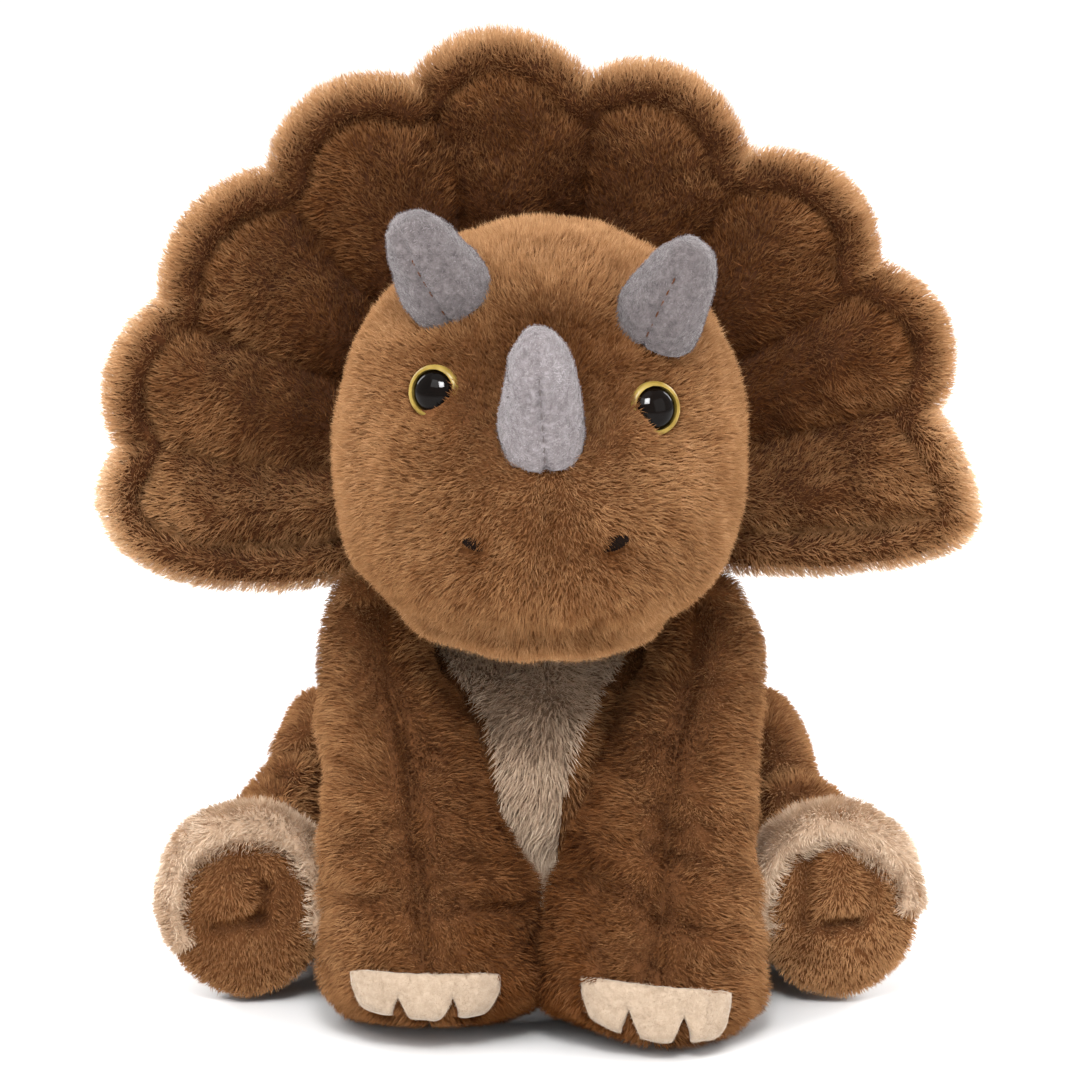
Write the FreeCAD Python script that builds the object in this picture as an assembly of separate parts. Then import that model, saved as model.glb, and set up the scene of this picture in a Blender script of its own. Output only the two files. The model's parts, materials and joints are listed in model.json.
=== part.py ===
import FreeCAD, Part
import math
import os

# Sitting stuffed three-horned dinosaur, millimetres.
# It sits on z = 0 and faces -Y. +X is the toy's own left side, +Z is up.
# Every cover is a 2.4 mm plush shell round its own stuffing.
# Limbs, head, neck and frill stand a little clear of each other,
# because each one swings on its own sewn seam.

# ---------------------------------------------------------------- dimensions
PLUSH = 2.4          # plush fabric with its pile laid down
GAP = 0.4            # air between a cover and its stuffing
CLEAR = 0.9          # air between two pieces that swing
FELT = 1.6           # felt of the horns and toes

SEAT_Y = 20.0        # centre of the seat, front to back
NECK = (0.0, 4.0, 116.0)      # centre of the neck ball
NECK_R = 27.5
HEAD_C = (0.0, -48.0, 167.0)  # centre of the head
HEAD_ROLL = 3.0               # degrees, own left side lower
HEAD_BACK_Y = 0.6             # flat back of the head, against the frill

FRILL_C = (0.0, 146.0)        # x, z of the centre of the fan
FRILL_Y0 = 2.0                # front face of the frill
FRILL_PLY = 2.6
FRILL_FILL = 8.0
NECK_NOTCH_R = 37.0

SHOULDER = (42.0, -42.0, 84.5)    # own left shoulder, mirrored for the right
SHOULDER_R = 20.8
HIP = (50.5, 8.0, 43.0)
TAIL_PIVOT = (0.0, 82.0, 20.0)
TAIL_R = 17.0

EYE_R = 7.7
EYE_PUPIL_R = 6.3

V = FreeCAD.Vector
os.makedirs("parts", exist_ok=True)


def save(shape, name):
    shape.exportStep("parts/" + name + ".step")


def oval(c, u, v, a, b, n=12):
    """Closed smooth oval wire: centre c, half axes a along u and b along v."""
    pts = []
    for i in range(n):
        t = 2 * math.pi * i / n
        pts.append(c + u * (a * math.cos(t)) + v * (b * math.sin(t)))
    s = Part.BSplineCurve()
    s.interpolate(pts, PeriodicFlag=True)
    return Part.Wire([s.toShape()])


def loft_z(secs, low=None, high=None, side=1):
    """Loft of level ovals (z, x, y, half x, half y)."""
    parts = []
    if low:
        parts.append(Part.Vertex(V(side * low[0], low[1], low[2])))
    for z, cx, cy, a, b in secs:
        parts.append(oval(V(side * cx, cy, z), V(1, 0, 0), V(0, 1, 0), a, b))
    if high:
        parts.append(Part.Vertex(V(side * high[0], high[1], high[2])))
    return Part.makeLoft(parts, True, False, False)


def loft_y(secs, low=None, high=None, side=1):
    """Loft of upright ovals (y, x, z, half x, half z)."""
    parts = []
    if low:
        parts.append(Part.Vertex(V(side * low[0], low[1], low[2])))
    for y, cx, cz, a, b in secs:
        parts.append(oval(V(side * cx, y, cz), V(1, 0, 0), V(0, 0, 1), a, b))
    if high:
        parts.append(Part.Vertex(V(side * high[0], high[1], high[2])))
    return Part.makeLoft(parts, True, False, False)


def thin(secs, t, ends=0.0):
    """The same sections a thickness t smaller, first and last level moved in."""
    out = [[s[0], s[1], s[2], s[3] - t, s[4] - t] for s in secs]
    if ends:
        out[0][0] += ends
        out[-1][0] -= ends
    return out


def ball(c, r, side=1):
    return Part.makeSphere(r, V(side * c[0], c[1], c[2]))


def ellipsoid(c, a, b, d, side=1):
    s = Part.makeSphere(1.0)
    m = FreeCAD.Matrix()
    m.scale(V(a, b, d))
    s = s.transformGeometry(m)
    s.translate(V(side * c[0], c[1], c[2]))
    return s


def one(shape):
    """The largest solid of a shape."""
    solids = sorted(shape.Solids, key=lambda s: -s.Volume)
    return solids[0]


def turned(shape, pivot, axis, deg):
    s = shape.copy()
    s.rotate(V(*pivot), V(*axis), deg)
    return s


def cone_secs(base, d, levels):
    """Round sections along direction d from a base point: (distance, radius)."""
    d = V(*d)
    d.normalize()
    u = d.cross(V(0, 1, 0))
    u.normalize()
    v = d.cross(u)
    v.normalize()
    return [oval(V(*base) + d * s, u, v, r, r) for s, r in levels]


def cone(base, d, levels, tip):
    dd = V(*d)
    dd.normalize()
    return Part.makeLoft(
        cone_secs(base, d, levels) + [Part.Vertex(V(*base) + dd * tip)],
        True, False, False)


# ------------------------------------------------------------------ the head
HEAD = [
    (108.5, 0, -50, 17, 18), (112.8, 0, -51, 28, 30), (119.5, 0, -52, 39, 42.5),
    (130.0, 0, -53, 50, 51.8), (143.0, 0, -52, 56.8, 56.5), (157.0, 0, -50, 59.6, 58),
    (171.0, 0, -48, 59.5, 57), (185.0, 0, -46, 57, 54.5), (198.0, 0, -44, 52, 50),
    (210.0, 0, -43, 44, 43), (220.0, 0, -42, 33, 33), (227.5, 0, -41.5, 19, 19)]


def roll(shape):
    return turned(shape, HEAD_C, (0, 1, 0), HEAD_ROLL)


def head_solid(t):
    secs = [(s[0] + (t * 0.9 if s[0] < 115 else (-t * 1.1 if s[0] > 215 else 0)),
             s[1], s[2], s[3] - t, s[4] - t) for s in HEAD]
    if t:
        # the crown of the inner shapes is drawn in, to keep an even cover
        z, x, y, a, b = secs[-1]
        secs[-1] = (z - 0.6 * t, x, y, a - 1.2 * t, b - 1.2 * t)
        z, x, y, a, b = secs[0]
        secs[0] = (z + 0.7 * t, x, y, a - 0.9 * t, b - 0.9 * t)
    h = loft_z(secs, (0, -50, 106.3 + 2.0 * t), (0, -41, 231.0 - t * 2.0))
    back = Part.makeBox(300, 200, 300, V(-150, HEAD_BACK_Y - t, 0))
    return roll(one(h.cut(back)))


head_outer = head_solid(0.0)
head_inner = head_solid(PLUSH)
head_fill = head_solid(PLUSH + GAP)
socket = ball(NECK, NECK_R + CLEAR)
skin_cuts = [head_inner, socket]
fill_cuts = [ball(NECK, NECK_R + CLEAR + GAP)]


def norm(v):
    v = V(*v)
    v.normalize()
    return v


def along(d, at, shape):
    """Place a shape built along +Z at a point, pointing along d."""
    s = shape.copy()
    s.Placement = FreeCAD.Placement(V(*at), FreeCAD.Rotation(V(0, 0, 1), norm(d)))
    return s


def head_surface(x, z, push=0.0):
    """Point of the rolled head's front at a given x and z."""
    line = Part.makeLine(V(x, -200, z), V(x, -40, z))
    pts = [v.Point for v in head_outer.common(line).Vertexes]
    y = min(p.y for p in pts)
    return (x, y + push, z)


# eyes: domed plastic pupil with a shank, a gold iris ring, a lock washer
nodes = {}
for name, sx in (("left", 1), ("right", -1)):
    x = sx * 31.2 + 1.0
    z = 187.6 - sx * 2.3
    d = (sx * 0.38, -0.89, 0.20)
    p = head_surface(x, z)
    n = norm(d)
    c = V(*p) - n * 1.2
    pupil = Part.makeSphere(EYE_PUPIL_R)
    m = FreeCAD.Matrix()
    m.scale(V(1, 1, 0.64))
    pupil = pupil.transformGeometry(m)
    pupil = pupil.common(Part.makeCylinder(20, 20, V(0, 0, 0)))
    shank = Part.makeCylinder(1.9, 13, V(0, 0, -12.9))
    eye = pupil.fuse(shank)
    ring = Part.makeCylinder(EYE_R, 2.2, V(0, 0, 0))
    ring = ring.makeFillet(1.4, [e for e in ring.Edges if abs(e.BoundBox.ZMin - 2.2) < 0.01
                                 and abs(e.BoundBox.ZMax - 2.2) < 0.01])
    ring = ring.cut(Part.makeCylinder(EYE_PUPIL_R + 0.02, 10, V(0, 0, -2)))
    washer = Part.makeCylinder(6.2, 1.4, V(0, 0, -5.6)).cut(
        Part.makeCylinder(1.92, 10, V(0, 0, -9)))
    at = (c.x, c.y, c.z)
    eye, ring, washer = [along(d, at, s) for s in (eye, ring, washer)]
    well = Part.makeCylinder(EYE_R + 0.05, 20, V(0, 0, -0.03))
    hole = Part.makeCylinder(1.95, 16, V(0, 0, -14))
    skin_cuts.append(along(d, at, well.fuse(hole)))
    fill_cuts.append(along(d, at, Part.makeCylinder(EYE_R + 0.6, 34, V(0, 0, -14))))
    nodes["eye_" + name] = one(eye)
    nodes["eye_iris_" + name] = one(ring)
    nodes["eye_washer_" + name] = one(washer)

# nostrils: a short satin stitch of thread each
for name, sx in (("left", 1), ("right", -1)):
    p = head_surface(sx * 19.7 + 1.0, 146.0)
    d = (sx * 0.9, -0.25, 0.35)
    at = V(*p) - norm(d) * 4.0 + V(0, 0.9, 0)
    st = along(d, (at.x, at.y, at.z), Part.makeCylinder(1.0, 8.0))
    skin_cuts.append(st)
    fill_cuts.append(along(d, (at.x, at.y, at.z), Part.makeCylinder(1.4, 8.4)))
    nodes["nostril_stitch_" + name] = st

# horns: felt cones with their own stuffing, sewn into the head
BROW = [(-3.0, 11.8), (2, 12.3), (8, 11.9), (15, 10.6), (21, 8.8), (25.4, 6.2)]
NOSE = [(-3.0, 11.1), (4, 11.7), (13, 11.3), (24, 9.7), (32, 7.8), (36, 5.2)]


def horn(name, base, d, levels, tip):
    outer = roll(cone(base, d, levels, tip))
    ins = [(s + (1.0 if i == 0 else 0.0), r - FELT) for i, (s, r) in enumerate(levels)]
    fil = [(s + (1.4 if i == 0 else 0.0), r - FELT - 0.3) for i, (s, r) in enumerate(levels)]
    inner = roll(cone(base, d, ins, tip - FELT * 1.2))
    fill = roll(cone(base, d, fil, tip - FELT * 1.2 - 0.5))
    skin_cuts.append(outer)
    room = max(r for s, r in levels) + 1.0
    pocket = [(-5.0, room), (6.0, room), (tip, room)]
    fill_cuts.append(roll(Part.makeLoft(cone_secs(base, d, pocket), True, False, False)))
    nodes[name + "_cover"] = one(outer.cut(inner))
    nodes[name + "_stuffing"] = one(fill)


horn("brow_horn_left", (31.0, -75.0, 208.6), (0.314, -0.35, 0.889), BROW, 28.6)
horn("brow_horn_right", (-28.0, -71.0, 213.6), (-0.541, -0.36, 0.764), BROW, 28.4)
horn("nose_horn", (0.3, -98.5, 178), (-0.10, -0.50, 0.866), NOSE, 38.2)
nodes["head_skin"] = one(head_outer.cut(skin_cuts))
nodes["head_stuffing"] = one(head_fill.cut(fill_cuts))

# --------------------------------------------------------------- neck wad
nodes["neck_stuffing"] = ball(NECK, NECK_R)

# ------------------------------------------------------------------ the frill
# nine scallops round the head: (angle, radius) of the valleys and the peaks
VALLEYS = [(10, 121.5), (33, 120.5), (58, 116.0), (83.5, 121.5), (108, 125.5),
           (131, 124.0), (154.5, 126.5), (175.5, 128.5)]
PEAKS = [(21.5, 131.5), (45.5, 129.0), (71, 130.5), (96, 136.0), (119.5, 135.0),
         (143, 133.0), (165, 135.0)]
LOW_RIGHT = [(133.0, 133.5), (131.5, 128.5), (121.0, 120.5), (100.0, 117.0), (78.0, 116.5),
             (58.0, 117.5)]
LOW_LEFT = [(-133.6, 137.0), (-131.0, 131.0), (-121.5, 124.5), (-106.0, 117.5),
            (-78.0, 111.5), (-58.0, 114.5)]


def pol(a, r, inset=0.0):
    t = math.radians(a)
    return V((r - inset) * math.cos(t), 0, FRILL_C[1] + (r - inset) * math.sin(t))


def frill_plate(y0, y1, inset, lift=0.0):
    """Scalloped fan between two Y levels, its edge drawn in by an inset."""
    k = inset
    edges = []
    lr = [V(x - (k if x > 110 else 0), 0, z + (k if x < 125 else 0)) for x, z in LOW_RIGHT]
    ll = [V(x + (k if x < -110 else 0), 0, z + (k if x > -125 else 0)) for x, z in LOW_LEFT]
    vs = [pol(a, r, k) for a, r in VALLEYS]
    ps = [pol(a, r, k) for a, r in PEAKS]
    edges.append(Part.Arc(vs[0], pol(1, 132.5, k), lr[0]).toShape())
    for i in range(len(ps)):
        edges.append(Part.Arc(vs[i], ps[i], vs[i + 1]).toShape())
    edges.append(Part.Arc(vs[-1], pol(180, 133.5, k), ll[0]).toShape())
    for pts in (lr, ll):
        for i in range(len(pts) - 1):
            edges.append(Part.makeLine(pts[i], pts[i + 1]))
    # inner ends, then the notch round the neck
    zn = NECK[2]
    rn = NECK_NOTCH_R + k
    a0 = math.radians(-4)
    p_r = V(rn * math.cos(a0), 0, zn + rn * math.sin(a0))
    p_l = V(-rn * math.cos(a0), 0, zn + rn * math.sin(a0))
    edges.append(Part.makeLine(lr[-1], p_r))
    edges.append(Part.makeLine(ll[-1], p_l))
    edges.append(Part.Arc(p_r, V(0, 0, zn + rn), p_l).toShape())
    wire = Part.Wire(Part.__sortEdges__(edges))
    face = Part.Face(wire)
    s = face.extrude(V(0, y1 - y0, 0))
    s.translate(V(0, y0, 0))
    return s


y1 = FRILL_Y0 + FRILL_PLY
y2 = y1 + GAP
y3 = y2 + FRILL_FILL
y4 = y3 + GAP
y5 = y4 + FRILL_PLY
nodes["frill_front_panel"] = frill_plate(FRILL_Y0, y1, 0.0)
nodes["frill_batting"] = frill_plate(y2, y3, 4.0)
nodes["frill_back_panel"] = frill_plate(y4, y5, 0.0)

# ------------------------------------------------------------------ front legs
LEG = [
    (0.0, 32.8, -79.0, 26.6, 25.5), (3.5, 32.8, -79.0, 30.2, 29.0),
    (14.0, 32.8, -79.0, 31.2, 30.6), (30.0, 33.2, -75.0, 30.4, 28.4),
    (50.0, 35.2, -65.0, 27.3, 26.0), (68.0, 38.6, -53.0, 24.1, 23.6),
    (84.5, 42.0, -42.0, 20.6, 20.6)]
TOES_Z = (3.0, 19.5)


def leg_solid(t, side, grow=0.0):
    secs = thin(LEG, t, 0.0)
    secs[0][0] += t
    if t:
        secs[1][0] += t
    s = loft_z([tuple(x) for x in secs], side=side)
    return s.fuse(ball(SHOULDER, SHOULDER_R - t, side))


legs = {}
for name, sx in (("left", 1), ("right", -1)):
    outer = leg_solid(0.0, sx)
    legs[name] = outer
    inner = leg_solid(PLUSH, sx)
    fill = leg_solid(PLUSH + GAP, sx)
    # three felt toes over the front of the paw: one strip with two notches
    bigger = leg_solid(-FELT, sx)
    cx = sx * 32.8
    z0, z1 = TOES_Z
    pts = [V(cx - 22, -130, z0 + 3), (V(cx - 14, -130, z0)), V(cx - 7.5, -130, z0 + 5.5),
           V(cx, -130, z0), V(cx + 7.5, -130, z0 + 5.5), V(cx + 14, -130, z0),
           V(cx + 22, -130, z0 + 3), V(cx + 20, -130, z1 - 3), V(cx + 9, -130, z1),
           V(cx, -130, z1 + 0.5), V(cx - 9, -130, z1), V(cx - 20, -130, z1 - 3),
           V(cx - 22, -130, z0 + 3)]
    prism = Part.Face(Part.makePolygon(pts)).extrude(V(0, 46, 0))
    toes = bigger.common(prism).cut(leg_solid(-0.02, sx))
    skin = outer.cut(inner)
    nodes["front_leg_" + name + "_skin"] = one(skin)
    nodes["front_leg_" + name + "_stuffing"] = one(fill)
    nodes["front_toes_" + name] = one(toes)

# ------------------------------------------------------------------ hind legs
HIND = [
    (-46.4, 86.0, 30.0, 22.6, 26.2), (-43.5, 86.0, 30.0, 24.8, 28.6),
    (-34.0, 84.8, 30.2, 24.8, 29.0), (-22.0, 78.2, 33.0, 22.8, 31.4),
    (-8.0, 71.2, 38.0, 19.6, 36.6), (12.0, 66.8, 40.4, 16.3, 39.0),
    (32.0, 66.2, 40.0, 15.5, 37.0), (48.0, 65.8, 39.4, 13.2, 29.0),
    (56.0, 65.6, 39.0, 8.8, 18.0)]
SOLE_Y = -46.8


def hind_solid(t, side):
    secs = thin(HIND, t, 0.0)
    secs[0][0] += t
    secs[-1][0] -= t
    return loft_y([tuple(x) for x in secs], high=(65.2, 60.0 - t, 38), side=side)


hinds = {}
for name, sx in (("left", 1), ("right", -1)):
    outer = hind_solid(0.0, sx)
    hinds[name] = outer
    inner = hind_solid(PLUSH, sx)
    fill = hind_solid(PLUSH + GAP, sx)
    skin = outer.cut(inner)
    # cream band over the top of the foot
    band_box = Part.makeBox(80, 13.0, 60, V(sx * 86 - 40, -43.4, 13.0))
    band = skin.common(band_box)
    skin = skin.cut(band_box)
    # sole: a padded disc of its own in front of the foot
    sole = loft_y([(-49.6, 86.0, 30.0, 20.4, 24.2), (-48.4, 86.0, 30.0, 22.4, 26.2),
                   (SOLE_Y, 86.0, 30.0, 23.0, 26.8)], side=sx)
    nodes["hind_leg_" + name + "_skin"] = one(skin)
    nodes["hind_leg_" + name + "_stuffing"] = one(fill)
    nodes["hind_foot_band_" + name] = one(band)
    nodes["hind_sole_" + name] = one(sole)

# ------------------------------------------------------------------ the tail
TAIL = [(82.0, 0, 20.0, 16.9, 16.9), (96.0, 0, 18.6, 15.6, 15.6), (110.0, 0, 16.0, 12.6, 12.6),
        (122.0, 0, 13.6, 8.6, 8.6), (129.0, 0, 12.2, 4.8, 4.8)]


def tail_solid(t):
    s = loft_y([(y, x, z, a - t, b - t) for y, x, z, a, b in TAIL], high=(0, 132 - 1.4 * t, 11.6))
    return s.fuse(ball(TAIL_PIVOT, TAIL_R - t))


tail_outer = tail_solid(0.0)
nodes["tail_skin"] = one(tail_outer.cut(tail_solid(PLUSH)))
nodes["tail_stuffing"] = one(tail_solid(PLUSH + GAP))

# ------------------------------------------------------------------ the torso
TORSO = [
    (0.0, 0, 20, 40, 48), (3.5, 0, 20, 45.5, 55.5), (14.0, 0, 18, 48.8, 62),
    (32.0, 0, 15, 49.4, 64), (50.0, 0, 9, 49.2, 61), (66.0, 0, 4, 48.6, 57),
    (76.0, 0, 2, 50.4, 52.5), (85.0, 0, 3, 55.4, 47), (94.0, 0, 5, 57.4, 39.5),
    (101.5, 0, 8, 52.5, 31), (107.0, 0, 10, 43.0, 21)]


def torso_solid(t):
    secs = thin(TORSO, t, 0.0)
    secs[0][0] += t
    secs[1][0] += t
    secs[-1][0] -= t
    return loft_z([tuple(x) for x in secs])


def carve(shape, extra):
    """Room in the torso for everything that swings against it."""
    shape = shape.cut(ball(NECK, NECK_R + CLEAR + extra))
    for side in (1, -1):
        shape = shape.cut(ball(SHOULDER, SHOULDER_R + CLEAR + extra, side))
        grown = leg_solid(-CLEAR - extra, side)
        for ang in (0.0, 4.0):
            shape = shape.cut(turned(grown, (side * SHOULDER[0], SHOULDER[1], SHOULDER[2]),
                                     (1, 0, 0), ang))
    shape = shape.cut(ball(TAIL_PIVOT, TAIL_R + CLEAR + extra))
    grown = tail_solid(-CLEAR - extra)
    for ang in (-20.0, 20.0):
        shape = shape.cut(turned(grown, TAIL_PIVOT, (0, 0, 1), ang))
    return shape


torso_outer = carve(torso_solid(0.0), 0.0)
torso_skin = torso_outer.cut(torso_solid(PLUSH))
torso_fill = carve(torso_solid(PLUSH + GAP), GAP)

# chest panel: the pale wedge set into the front of the body cover
wedge = Part.Face(Part.makePolygon([
    V(-36, -90, 101), V(36, -90, 101), V(20, -90, 66), V(1.5, -90, 22), V(-1.5, -90, 22),
    V(-20, -90, 66), V(-36, -90, 101)])).extrude(V(0, 80, 0))
chest = torso_skin.common(wedge)
torso_skin = torso_skin.cut(wedge)

# bag of pellets in the seat, which keeps the toy upright
BAG = [(5.0, 0, 22, 30, 34), (10.0, 0, 22, 36, 40), (22.0, 0, 22, 37, 41), (30.0, 0, 22, 31, 35)]
bag_outer = loft_z(BAG)
bag_inner = loft_z([(6.0, 0, 22, 29, 33), (10.0, 0, 22, 35, 39), (22.0, 0, 22, 36, 40),
                    (29.0, 0, 22, 30, 34)])
bag_fill = loft_z([(6.4, 0, 22, 28.6, 32.6), (10.0, 0, 22, 34.6, 38.6), (22.0, 0, 22, 35.6, 39.6),
                   (28.6, 0, 22, 29.6, 33.6)])
bag_room = loft_z([(4.6, 0, 22, 30.6, 34.6), (10.0, 0, 22, 36.6, 40.6), (22.0, 0, 22, 37.6, 41.6),
                   (30.4, 0, 22, 31.6, 35.6)])
nodes["torso_skin"] = one(torso_skin)
nodes["chest_panel"] = one(chest)
nodes["torso_stuffing"] = one(torso_fill.cut(bag_room))
nodes["seat_bag"] = bag_outer.cut(bag_inner)
nodes["seat_pellets"] = bag_fill

# ------------------------------------------------------------------ centring
# the frame's origin is under the middle of the whole toy
box = FreeCAD.BoundBox()
for s in nodes.values():
    box.add(s.optimalBoundingBox(True, False))
shift = V(-(box.XMin + box.XMax) / 2, -(box.YMin + box.YMax) / 2, -box.ZMin)
for name, s in nodes.items():
    s = s.copy()
    s.translate(shift)
    save(s, name)
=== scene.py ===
import bpy
import json
import math
import numpy as np
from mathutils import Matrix, Quaternion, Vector
from mathutils.kdtree import KDTree

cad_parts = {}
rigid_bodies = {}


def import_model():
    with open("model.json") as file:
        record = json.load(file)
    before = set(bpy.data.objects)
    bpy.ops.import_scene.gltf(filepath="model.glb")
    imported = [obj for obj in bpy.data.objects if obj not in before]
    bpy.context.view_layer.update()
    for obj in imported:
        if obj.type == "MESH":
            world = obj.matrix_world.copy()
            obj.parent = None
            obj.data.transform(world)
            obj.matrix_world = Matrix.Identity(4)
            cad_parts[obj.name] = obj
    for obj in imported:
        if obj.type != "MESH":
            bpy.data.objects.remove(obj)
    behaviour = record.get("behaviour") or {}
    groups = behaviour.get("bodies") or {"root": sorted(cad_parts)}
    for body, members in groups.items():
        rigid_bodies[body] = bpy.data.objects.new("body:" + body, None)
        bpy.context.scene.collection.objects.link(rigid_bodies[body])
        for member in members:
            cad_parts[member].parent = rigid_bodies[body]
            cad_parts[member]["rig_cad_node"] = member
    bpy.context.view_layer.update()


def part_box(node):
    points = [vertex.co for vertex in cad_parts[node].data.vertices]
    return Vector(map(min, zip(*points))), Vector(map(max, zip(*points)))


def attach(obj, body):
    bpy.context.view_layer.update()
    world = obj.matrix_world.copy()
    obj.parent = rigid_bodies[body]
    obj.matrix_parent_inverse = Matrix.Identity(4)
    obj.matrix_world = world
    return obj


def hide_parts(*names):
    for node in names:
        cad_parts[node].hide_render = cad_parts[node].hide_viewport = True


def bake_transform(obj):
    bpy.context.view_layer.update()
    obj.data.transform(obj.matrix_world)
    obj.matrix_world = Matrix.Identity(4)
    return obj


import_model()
MM = 0.001

# ------------------------------------------------------------------ positions
# the design's own coordinates (millimetres) sit a small shift away from the frame
lo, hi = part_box("neck_stuffing")
NECK = np.array([0.0, 4.0, 116.0])
SHIFT = (np.array(lo) + np.array(hi)) / 2 / MM - NECK


def W(p):
    """Design millimetres to frame metres."""
    return (np.asarray(p, float) + SHIFT) * MM


def node_centre(name):
    a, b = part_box(name)
    return (np.array(a) + np.array(b)) / 2 / MM - SHIFT


# ------------------------------------------------------------------ materials
def lin(r, g, b):
    f = lambda c: ((c / 255 + 0.055) / 1.055) ** 2.4 if c > 10.3 else c / 255 / 12.92
    return (f(r), f(g), f(b))


def plain(name, rgb, rough=0.8, sheen=0.25, spec=0.05, tint=2.0):
    m = bpy.data.materials.new(name)
    m.use_nodes = True
    b = m.node_tree.nodes["Principled BSDF"]
    b.inputs["Base Color"].default_value = (*rgb, 1)
    b.inputs["Roughness"].default_value = rough
    b.inputs["Specular IOR Level"].default_value = spec
    b.inputs["Sheen Weight"].default_value = sheen
    b.inputs["Sheen Roughness"].default_value = 0.45
    b.inputs["Sheen Tint"].default_value = (*[min(1.0, c * tint + 0.05) for c in rgb], 1)
    return m


def patterned(name, c1, c2, scale, bump=0.3, rough=0.9, sheen=0.3, c3=None, bump_scale=None,
              detail=6.0, dist=0.0006):
    """Mottled cloth: noise between two or three colours with a fibrous bump."""
    m = bpy.data.materials.new(name)
    m.use_nodes = True
    nt = m.node_tree
    b = nt.nodes["Principled BSDF"]
    b.inputs["Roughness"].default_value = rough
    b.inputs["Specular IOR Level"].default_value = 0.06
    b.inputs["Sheen Weight"].default_value = sheen
    b.inputs["Sheen Roughness"].default_value = 0.5
    tc = nt.nodes.new("ShaderNodeTexCoord")
    n = nt.nodes.new("ShaderNodeTexNoise")
    n.inputs["Scale"].default_value = scale
    n.inputs["Detail"].default_value = detail
    n.inputs["Roughness"].default_value = 0.7
    r = nt.nodes.new("ShaderNodeValToRGB")
    r.color_ramp.elements[0].position = 0.32
    r.color_ramp.elements[1].position = 0.68
    r.color_ramp.elements[0].color = (*c1, 1)
    r.color_ramp.elements[1].color = (*c2, 1)
    if c3:
        e = r.color_ramp.elements.new(0.5)
        e.color = (*c3, 1)
    n2 = nt.nodes.new("ShaderNodeTexNoise")
    n2.inputs["Scale"].default_value = bump_scale or scale * 3
    n2.inputs["Detail"].default_value = 4.0
    bp = nt.nodes.new("ShaderNodeBump")
    bp.inputs["Strength"].default_value = bump
    bp.inputs["Distance"].default_value = dist
    l = nt.links.new
    l(tc.outputs["Object"], n.inputs["Vector"])
    l(tc.outputs["Object"], n2.inputs["Vector"])
    l(n.outputs["Fac"], r.inputs["Fac"])
    l(r.outputs["Color"], b.inputs["Base Color"])
    l(n2.outputs["Fac"], bp.inputs["Height"])
    l(bp.outputs["Normal"], b.inputs["Normal"])
    return m


BROWN_SRGB = [(44, 21, 4), (62, 31, 6), (80, 43, 13), (98, 57, 25), (115, 73, 40),
              (131, 88, 53), (148, 105, 67), (164, 120, 80), (180, 136, 94), (196, 152, 109),
              (211, 172, 131), (227, 193, 156)]
BROWN = [plain("plush_brown_%02d" % i, lin(*c), sheen=0.12, spec=0.04) for i, c in enumerate(BROWN_SRGB)]
CREAM = [plain("plush_cream_%02d" % i, lin(*c), sheen=0.3, tint=1.2) for i, c in enumerate(
    [(164, 137, 111), (184, 157, 131), (201, 175, 149), (215, 191, 165), (227, 205, 181),
     (237, 218, 197)])]
BEIGE = [plain("plush_beige_%02d" % i, lin(*c), sheen=0.3, tint=1.3) for i, c in enumerate(
    [(88, 66, 51), (108, 84, 67), (128, 103, 84), (148, 122, 101), (170, 144, 120),
     (194, 168, 143), (214, 190, 165)])]
GREY = [plain("felt_grey_fibre_%d" % i, lin(*c), sheen=0.3, tint=1.2) for i, c in enumerate(
    [(108, 101, 102), (133, 125, 126), (158, 150, 151), (184, 177, 179)])]
TOE = [plain("felt_cream_fibre_%d" % i, lin(*c), sheen=0.3, tint=1.2) for i, c in enumerate(
    [(156, 135, 113), (172, 151, 129), (186, 166, 145)])]
BACK_BROWN = patterned("plush_backing_brown", lin(84, 50, 24), lin(112, 71, 40), 260, 0.6, sheen=0.0)
BACK_DARK = patterned("plush_backing_dark", lin(60, 31, 11), lin(84, 48, 22), 260, 0.6, sheen=0.0)
BACK_CREAM = patterned("plush_backing_cream", lin(176, 148, 122), lin(206, 180, 154), 260, 0.5)
BACK_BEIGE = patterned("plush_backing_beige", lin(126, 100, 80), lin(168, 142, 118), 260, 0.5)
FELT_GREY = patterned("felt_grey_cloth", lin(106, 98, 99), lin(156, 149, 151), 520, 0.9,
                      c3=lin(132, 124, 125), bump_scale=1400, dist=0.0008)
FELT_GREY_DARK = patterned("felt_grey_dark_cloth", lin(82, 75, 75), lin(128, 120, 120), 520, 0.9,
                           c3=lin(106, 98, 98), bump_scale=1400, dist=0.0008)
FELT_CREAM = patterned("felt_cream_cloth", lin(164, 143, 121), lin(188, 167, 145), 480, 0.7,
                       bump_scale=1300, dist=0.0006)
THREAD = patterned("thread_dark_cloth", lin(12, 6, 3), lin(30, 17, 9), 900, 0.8, rough=1.0, sheen=0.0)
THREAD.node_tree.nodes["Principled BSDF"].inputs["Specular IOR Level"].default_value = 0.05
SEAM_THREAD = plain("seam_thread_brown", lin(92, 54, 30))
SEAM_GREY = plain("seam_thread_grey", lin(104, 96, 95))


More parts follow.
